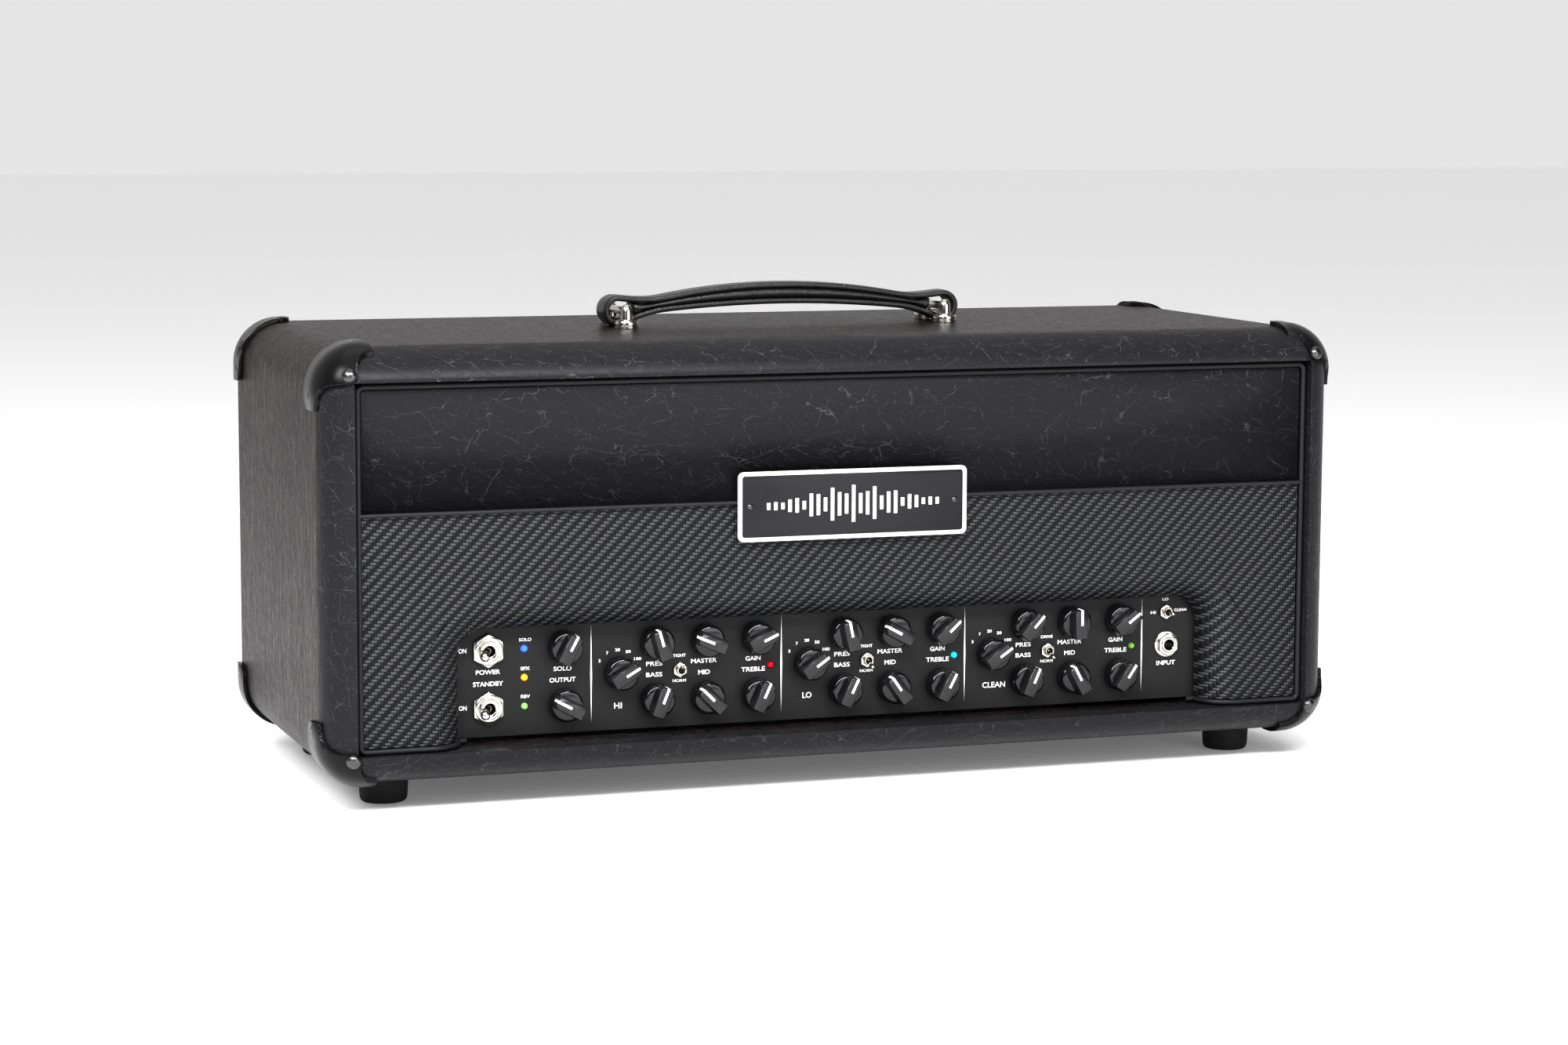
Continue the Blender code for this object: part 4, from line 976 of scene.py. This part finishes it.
def make_big_switches():
    pivot_y = FACE_Y - 1.0
    lean = Matrix.Rotation(math.radians(-SWITCH_LEAN), 4, "Z")
    bat = bat_mesh(22.5, 1.4, 2.3, 2.85)
    for name, z in (("power", ROW_UPPER), ("standby", ROW_LOWER)):
        place = at(SWITCH_X, pivot_y, z, lean @ TO_FRONT)
        lever = f"{name}_lever"
        piece(f"{name}_bat", bat.copy(), CHROME, (lever,), place, lever)
        outline = [(5.9, -6.0), (5.9, 2.4), (5.6, 2.9), (3.9, 3.0), (3.4, 2.7), (3.4, -6.0)]
        bushing = lathe(outline, ring=True)
        case = box((18, 24, 28), 1.0)
        nut_mesh = pierced_nut(10.1, 2.4, 0.5, 4.5, 12, -4)
        shift = at(SWITCH_X, FACE_Y - 2.2, z, TO_FRONT)
        pieces = [(nut_mesh, at(SWITCH_X, FACE_Y, z, TO_FRONT)), (bushing, shift)]
        dress = lathe([(8.3, 0.0), (8.4, 0.5), (7.9, 0.9), (6.5, 1.0), (5.9, 0.7), (5.9, 0.0)], ring=True)
        pieces.append((dress, at(SWITCH_X, FACE_Y - 2.35, z, TO_FRONT)))
        pieces.append((case, at(SWITCH_X, PANEL_Y + SHEET + GAP + 12, z)))
        piece(f"{name}_switch_nut", joined(pieces), CHROME, (f"{name}_switch_body",))
        dark = lathe([(0, 0.0), (3.4, 0.0), (3.4, -0.4), (0, -0.4)], 32)
        piece(f"{name}_switch_well", dark, SOCKET, (), at(SWITCH_X, FACE_Y + 2.0, z, TO_FRONT))


def mini_places():
    places = [(f"{channel}_voice_lever", CHANNEL_LEFT + index * CHANNEL_PITCH + MINI_OFFSET, ROW_MIDDLE, lean)
              for (index, channel), lean in zip(enumerate(CHANNELS), MINI_REST)]
    return places + [("channel_lever", INPUT_X - 0.8, ROW_SELECTOR, 0)]


def make_mini_switches():
    nut = pierced_nut(4.6, 1.7, 0.3, 2.9, 6, -2)
    bushing = lathe([(3.0, -3.0), (3.0, 4.0), (2.7, 4.4), (2.2, 4.4), (1.95, 4.1), (1.95, -3.0)], 36, ring=True)
    bat = bat_mesh(8.4, 0.75, 0.9, 1.25)
    nuts = []
    for name, x, z, lean in mini_places():
        tilt = Matrix.Rotation(math.radians(90 + MINI_LEAN * lean), 4, "X")
        piece(f"{name}_bat", bat.copy(), CHROME, (name,), at(x, FACE_Y - 2.4, z, tilt), name)
        nuts += [(nut, at(x, FACE_Y, z, TO_FRONT)), (bushing, at(x, FACE_Y, z, TO_FRONT))]
    piece("mini_switch_nuts", joined(nuts), CHROME)


PANEL_LAMPS = (
    ("solo_lamp", ROW_UPPER, (0.02, 0.07, 1.0), 5.0),
    ("effects_lamp", ROW_MIDDLE, (1.0, 0.42, 0.03), 1.0),
    ("reverb_lamp", ROW_LOWER, (0.22, 0.55, 0.14), 0.5),
)
CHANNEL_LAMPS = (((0.65, 0.005, 0.015), 0.22), ((0.02, 0.55, 0.65), 0.6), ((0.20, 0.40, 0.07), 0.15))


def make_lamps():
    lens = lathe([(0, 1.75), (0.7, 1.6), (1.35, 1.15), (1.8, 0.45), (1.95, -0.2), (1.95, -4.0),
                  (0, -4.0)], 32)
    looks = [(name, LED_X, z, colour, glow) for name, z, colour, glow in PANEL_LAMPS]
    for index, (channel, (colour, glow)) in enumerate(zip(CHANNELS, CHANNEL_LAMPS)):
        x = CHANNEL_LEFT + index * CHANNEL_PITCH + LED_OFFSET
        looks.append((f"{channel}_lamp", x, ROW_MIDDLE, colour, glow))
    for name, x, z, colour, glow in looks:
        piece(name, lens.copy(), lamp_material(f"{name}_light", colour, glow), (),
              at(x, PANEL_Y, z, TO_FRONT))


def make_control_board():
    board_y = PANEL_Y + SHEET + 10.0
    low, high = CHASSIS_BOTTOM + 5, DECK_Z - 5
    board = [(box((404, 1.6, high - low), 0.2), at(2.0, board_y + 0.8, (low + high) / 2))]
    tab_low = ROW_SELECTOR - 7
    board.append((box((26, 1.6, high - tab_low), 0.2), at(213, board_y + 0.8, (high + tab_low) / 2)))
    piece("control_board_sheet", joined(board), BOARD, ("control_board",))
    pot = lathe([(0, 20.6), (2.6, 20.6), (3.0, 20.2), (3.0, 8.8), (4.4, 8.6), (7.3, 8.5), (7.5, 8.2),
                 (7.5, 0), (0, 0)], 32)
    mini = lathe([(0, 9.0), (3.1, 9.0), (5.3, 8.9), (5.5, 8.6), (5.5, 0), (0, 0)], 24)
    pieces = [(pot, at(x, board_y, z, TO_FRONT)) for _, x, z, _ in knob_places()]
    pieces += [(mini, at(x, board_y, z, TO_FRONT)) for _, x, z, _ in mini_places()]
    piece("control_board_parts", joined(pieces), GREY_METAL)


def make_input_jack():
    washer = lathe([(5.0, 0.0), (7.7, 0.0), (8.0, 0.25), (8.0, 0.6), (7.7, 0.8), (5.0, 0.8)], 56, ring=True)
    nut = pierced_nut(7.2, 3.0, 0.5, 4.6, 10, -3)
    collar = lathe([(4.8, -6.0), (4.8, 3.9), (4.4, 4.3), (3.5, 4.3), (3.15, 3.9), (3.15, -22.0),
                                   (4.8, -22.0)], 48, ring=True)
    case = combine(box((16, 24, 18), 1.0), [("DIFFERENCE", rod(3.2, 40), at(0, 9, 0, TO_FRONT))])
    pieces = [(washer, at(INPUT_X, FACE_Y, ROW_MIDDLE, TO_FRONT)),
              (nut, at(INPUT_X, FACE_Y - 0.7, ROW_MIDDLE, TO_FRONT)),
              (collar, at(INPUT_X, FACE_Y, ROW_MIDDLE, TO_FRONT)),
              (case, at(INPUT_X, PANEL_Y + SHEET + GAP + 12, ROW_MIDDLE))]
    piece("input_jack_nut", joined(pieces), CHROME, ("input_jack",))


# Printing on the panel
LABELS = (
    ("ON", -230.2, 89.7, 2.7, 4.6), ("ON", -230.2, 56.3, 2.7, 4.6), ("POWER", -215.1, 76.7, 2.7, 14.5),
    ("STANDBY", -215.1, 69.8, 2.7, 18.0), ("SOLO", -192.8, 94.7, 1.9, 7.4), ("EFX", -192.8, 77.8, 1.9, 5.4),
    ("REV", -192.8, 61.4, 1.9, 5.5), ("SOLO", -170.4, 76.6, 2.7, 10.8), ("OUTPUT", -170.4, 70.0, 2.7, 15.8),
    ("INPUT", 216.0, 60.8, 2.7, 12.6), ("HI", 207.0, 92.4, 1.7, 3.4), ("LO", 215.2, 100.4, 1.7, 4.0),
    ("CLEAN", 225.4, 93.4, 1.7, 8.2),
)
CHANNEL_LABELS = (
    ("3", 5.1, 80.0, 1.8, 1.3), ("7", 9.8, 84.4, 1.8, 1.3), ("20", 16.1, 86.0, 1.8, 3.0),
    ("50", 22.6, 84.6, 1.8, 3.0), ("100", 28.4, 80.1, 1.8, 4.4), ("PRES", 38.5, 76.7, 2.7, 10.0),
    ("BASS", 38.5, 70.2, 2.7, 10.0), ("MASTER", 69.2, 77.0, 2.7, 16.0), ("MID", 69.3, 70.2, 2.7, 7.2),
    ("GAIN", 99.8, 76.9, 2.7, 9.4), ("TREBLE", 99.9, 70.4, 2.7, 14.8), ("NORM", 54.0, 65.9, 1.8, 8.2),
)
CHANNEL_NAMES = (("HI", "TIGHT"), ("LO", "TIGHT"), ("CLEAN", "DRIVE"))


def lettering(text, x, z, height, width):
    """Flat letters centred on (x, z) on the panel, fitted to a cap height and a width."""
    curve = bpy.data.curves.new(text, "FONT")
    curve.body = text
    curve.align_x = "CENTER"
    curve.extrude = 0.00002
    curve.resolution_u = 4
    curve.size = 0.01
    curve.offset = 0.00018
    holder = placed(curve)
    mesh = evaluated(holder)
    drop(holder)
    xs = [v.co.x for v in mesh.vertices]
    ys = [v.co.y for v in mesh.vertices]
    centre = Vector(((max(xs) + min(xs)) / 2, (max(ys) + min(ys)) / 2, 0))
    scale = Matrix.Diagonal((width * MM / (max(xs) - min(xs)), height * MM / (max(ys) - min(ys)), 1, 1))
    return mesh, at(x, PANEL_Y - 0.03, z, TO_FRONT) @ scale @ Matrix.Translation(-centre)


def divider_mesh():
    """A white line that tapers to a point at both ends."""
    low, high = 43.6, 102.0
    middle = (low + high) / 2
    outline = [(0.0, low), (0.55, middle), (0.0, high), (-0.55, middle)]
    return plate([outline], 0.05, PANEL_Y - 0.055)


def make_printing():
    letters = [lettering(*label) for label in LABELS]
    for index, (channel, voice) in enumerate(CHANNEL_NAMES):
        left = CHANNEL_LEFT + index * CHANNEL_PITCH
        for text, offset, z, height, width in CHANNEL_LABELS:
            letters.append(lettering(text, left + offset, z, height, width))
        letters.append(lettering(voice, left + 54.0, 80.8, 1.8, 7.8))
        letters.append(lettering(channel, left + 16.3 + (3.0 if channel == "CLEAN" else 0.0), 53.0, 3.5,
                                 {"HI": 4.8, "LO": 5.8, "CLEAN": 15.0}[channel]))
    piece("panel_lettering", joined(letters), INK)
    lines = [(divider_mesh(), at(CHANNEL_LEFT + index * CHANNEL_PITCH, 0, 0)) for index in range(4)]
    piece("panel_dividers", joined(lines), INK)


# Rear and inside
JACKS_X = (-150.0, -122.0, -94.0, -40.0, -12.0, 16.0, 44.0, 90.0)
INLET_X = 190.0
VALVE_BANKS = (
    ("power_valves", (36.0, 84.0, 132.0, 180.0), 52.0, (192, 46, 1.6), True),
    ("preamp_valves", (14.0, 55.0, 96.0, 137.0, 178.0, 219.0), -42.0, (236, 30, 1.6), False),
)
TRANSFORMERS = (
    ("mains_transformer", -178.0, 22.0, (96, 52, 82), 70),
    ("output_transformer", -62.0, 28.0, (80, 44, 68), 56),
)


def make_rear_jacks():
    back_y = REAR_PANEL_Y - SHEET - 14.0
    board = box((270, 1.6, 40), 0.2)
    piece("rear_board_sheet", board, BOARD, ("rear_jack_board",),
          at(-30, back_y - 0.8, REAR_ROW))
    case = lathe([(7.2, 0.0), (7.5, 0.3), (7.5, 13.2), (7.2, 13.5), (4.8, 13.5), (4.7, 17.4),
                               (4.3, 18.6), (3.6, 18.8), (3.2, 18.4), (3.2, 0.0)], 40, ring=True)
    nut = pierced_nut(7.0, 2.4, 0.4, 4.5, 8, -2)
    cases = [(case, at(x, back_y, REAR_ROW, TO_BACK)) for x in JACKS_X]
    piece("rear_jack_cases", joined(cases), MOULDED)
    nuts = [(nut, at(x, REAR_PANEL_Y + GAP, REAR_ROW, TO_BACK)) for x in JACKS_X]
    piece("rear_jack_nuts", joined(nuts), CHROME)


def make_mains_inlet():
    flange = box((50, 2.5, 27), 1.0)
    body = box((27, 24, 19), 1.0)
    socket = box((23, 18, 14), 0.0)
    mesh = combine(body, [("UNION", flange, at(0, 11.25, 0)),
                          ("DIFFERENCE", socket, at(0, 6.2, 0))], 0.3)
    piece("mains_inlet_body", mesh, MOULDED, ("mains_inlet",),
          at(INLET_X, REAR_PANEL_Y + GAP + 1.5 - 12, REAR_ROW))
    pin = box((2.0, 14.0, 4.0), 0.5)
    pin_places = ((-7, -1.5), (0, 2.0), (7, -1.5))
    pins = [(pin, at(INLET_X + dx, REAR_PANEL_Y - 6.5, REAR_ROW + dz)) for dx, dz in pin_places]
    piece("mains_inlet_pins", joined(pins), CHROME)
    screw = screw_head(2.6, 1.1)
    screws = [(screw, at(INLET_X + dx, REAR_PANEL_Y + GAP + 2.5, REAR_ROW, TO_BACK)) for dx in (-20, 20)]
    piece("mains_inlet_screws", joined(screws), SCREW)


def valve(power):
    """(glass, inside, base) meshes of a valve standing on its origin."""
    if power:
        envelope = [(0, 102), (4.5, 101.2), (8.5, 99.0), (12.5, 95.0), (15.5, 89.5), (17.0, 83), (17.0, 62),
                    (15.6, 48), (15.0, 42), (15.8, 38), (15.8, 14)]
        inside = box((20, 14, 44), 1.0)
        inside_z, base = 58, [(0, 14.5), (16.0, 14.5), (16.5, 14.0), (16.5, 3.0), (20.6, 2.6), (21.0, 2.0),
                              (21.0, 0.0), (0, 0.0)]
    else:
        envelope = [(0, 58), (2.2, 57.4), (4.0, 56.0), (7.5, 54.6), (9.8, 52.0), (10.5, 48.5), (10.5, 13)]
        inside = box((12, 8, 26), 0.8)
        inside_z, base = 33, [(0, 13.2), (12.0, 13.2), (12.5, 12.6), (12.5, 0.0), (0, 0.0)]
    glass = lathe(envelope + [(0, envelope[-1][1])], 40)
    discs = lathe([(0, 0), (9.0 if power else 6.5, 0), (9.0 if power else 6.5, 0.6), (0, 0.6)], 24)
    half = 24 if power else 15
    inner = joined([(inside, at(0, 0, inside_z)), (discs, at(0, 0, inside_z + half)),
                    (discs, at(0, 0, inside_z - half))])
    return glass, inner, lathe(base, 40)


def make_valves():
    bottom = DECK_Z + GAP
    for name, places, y, size, power in VALVE_BANKS:
        glass, inner, base = valve(power)
        stand = bottom + size[2] - 0.6
        spots = [at(x, y, stand) for x in places]
        middle = (places[0] + places[-1]) / 2
        strip = box(size, 0.3)
        bases = [(base, spot) for spot in spots] + [(strip, at(middle, y, bottom + size[2] / 2))]
        piece(f"{name}_bases", joined(bases), MOULDED, (name,))
        piece(f"{name}_glass", joined([(glass, spot) for spot in spots]), GLASS)
        piece(f"{name}_electrodes", joined([(inner, s) for s in spots]), GREY_METAL)


def make_transformer(name, x, y, core, bell):
    bottom = DECK_Z + GAP
    width, depth, height = core
    stack = box((width, depth, height), 0.5)
    piece(f"{name}_core", stack, LAMINATED, (name,), at(x, y, bottom + height / 2))
    cover = box((bell, depth + 44, height - 12), 8, 8)
    foot = box((width + 18, depth - 8, 3), 0.4)
    bolt = prism(4.0, 3.0)
    bolts = [(bolt, at(x + sx * (width / 2 - 8), y + sy * depth / 2, bottom + z, turn))
             for sx in (-1, 1) for sy, turn in ((-1, TO_FRONT), (1, TO_BACK)) for z in (9, height - 9)]
    pieces = [(cover, at(x, y, bottom + height / 2)), (foot, at(x, y, bottom + 1.5))] + bolts
    piece(f"{name}_covers", joined(pieces), BELL)


def paint_nodes():
    """CAD parts whose own shape is shown get their final materials and softened edges."""
    for name, material, width in (("chassis", PANEL, 0.3), ("rear_grille", MOULDED, 0.4)):
        node = NODES[name]
        node.data.materials.clear()
        node.data.materials.append(material)
        soften(node, width)


def make_rear_screws():
    screw = screw_head(3.4, 1.5)
    top_row = 241.0
    spots = [(x, top_row) for x in (-285, -140, 0, 140, 285)]
    spots += [(x, z) for x in (-287, 287) for z in (60, 150)]
    screws = [(screw, at(x, REAR_PANEL_Y, z, TO_BACK)) for x, z in spots]
    piece("rear_grille_screws", joined(screws), SCREW)


# Floor, light and camera
def make_floor():
    bm = bmesh.new()
    bmesh.ops.create_grid(bm, x_segments=1, y_segments=1, size=14.0)
    floor = placed(mesh_of(bm), "floor")
    floor.location.z = -0.0002
    n = Nodes("pale_floor", (0.9, 0.9, 0.9), 0.7)
    n.colour(n.mix(n.noise(2.0, 2.0), (0.90, 0.90, 0.90), (0.92, 0.92, 0.92)))
    n.constants({"Emission Color": (1.0, 1.0, 1.0, 1.0), "Emission Strength": 0.16})
    floor.data.materials.append(n.material)


def make_world():
    """A bright sweep behind the object that darkens towards the front, so that black faces stay black."""
    world = bpy.data.worlds.new("studio")
    bpy.context.scene.world = world
    world.use_nodes = True
    nodes, links = world.node_tree.nodes, world.node_tree.links
    background = nodes["Background"]
    background.inputs["Color"].default_value = (1.0, 1.0, 1.0, 1.0)
    direction = nodes.new("ShaderNodeTexCoord")
    split = nodes.new("ShaderNodeSeparateXYZ")
    links.new(direction.outputs["Generated"], split.inputs[0])
    level = nodes.new("ShaderNodeMapRange")
    links.new(split.outputs["Y"], level.inputs["Value"])
    level.interpolation_type = "SMOOTHSTEP"
    for socket, value in (("From Min", -0.10), ("From Max", 0.60), ("To Min", 0.10), ("To Max", 0.82)):
        level.inputs[socket].default_value = value
    links.new(level.outputs["Result"], background.inputs["Strength"])


def area_light(name, place, target, size, power):
    light = bpy.data.lights.new(name, "AREA")
    light.shape = "RECTANGLE"
    light.size, light.size_y = size
    light.energy = power
    lamp = placed(light, name)
    lamp.location = place
    aim = Vector(target) - Vector(place)
    lamp.rotation_euler = aim.to_track_quat("-Z", "Y").to_euler()


def make_lights():
    area_light("key_soft", (-1.5, -1.9, 1.4), (0, 0, 0.12), (0.5, 1.1), 30)
    area_light("top_soft", (-0.3, -1.6, 1.5), (0, 0, 0.15), (1.7, 0.35), 70)
    area_light("left_soft", (-1.8, -0.95, 1.7), (0, 0, 0.15), (0.9, 0.9), 46)
    area_light("front_soft", (0.9, -2.3, 0.55), (0, 0, 0.12), (1.6, 0.9), 24)
    sun = bpy.data.lights.new("overhead", "SUN")
    sun.energy = 1.0
    sun.angle = math.radians(60)
    placed(sun, "overhead")


def make_camera():
    """A long lens, low and to the left of the object."""
    yaw, pitch, roll = math.radians(19.4345), math.radians(6.9354), math.radians(0.2173)
    forward = Vector((math.sin(yaw) * math.cos(pitch), math.cos(yaw) * math.cos(pitch), -math.sin(pitch)))
    right = Vector((math.cos(yaw), -math.sin(yaw), 0))
    up = right.cross(forward)
    rolled_right = right * math.cos(roll) + up * math.sin(roll)
    rolled_up = up * math.cos(roll) - right * math.sin(roll)
    turn = Matrix((rolled_right, rolled_up, -forward)).transposed().to_4x4()
    data = bpy.data.cameras.new("camera")
    data.lens = 83.12
    data.sensor_width = 36.0
    camera = placed(data, "camera")
    camera.matrix_world = Matrix.Translation((-0.7412, -2.1110, 0.4156)) @ turn
    bpy.context.scene.camera = camera


view = bpy.context.scene.view_settings
view.view_transform = "Standard"
view.gamma = 0.82
make_camera()
make_cabinet()
make_fascia()
make_piping()
make_badge()
make_guards()
make_feet()
make_handle_mounts()
make_handle_strap()
make_knobs()
make_big_switches()
make_mini_switches()
make_lamps()
make_control_board()
make_input_jack()
make_printing()
make_rear_jacks()
make_mains_inlet()
make_valves()
for transformer in TRANSFORMERS:
    make_transformer(*transformer)
paint_nodes()
make_rear_screws()
make_floor()
make_world()
make_lights()
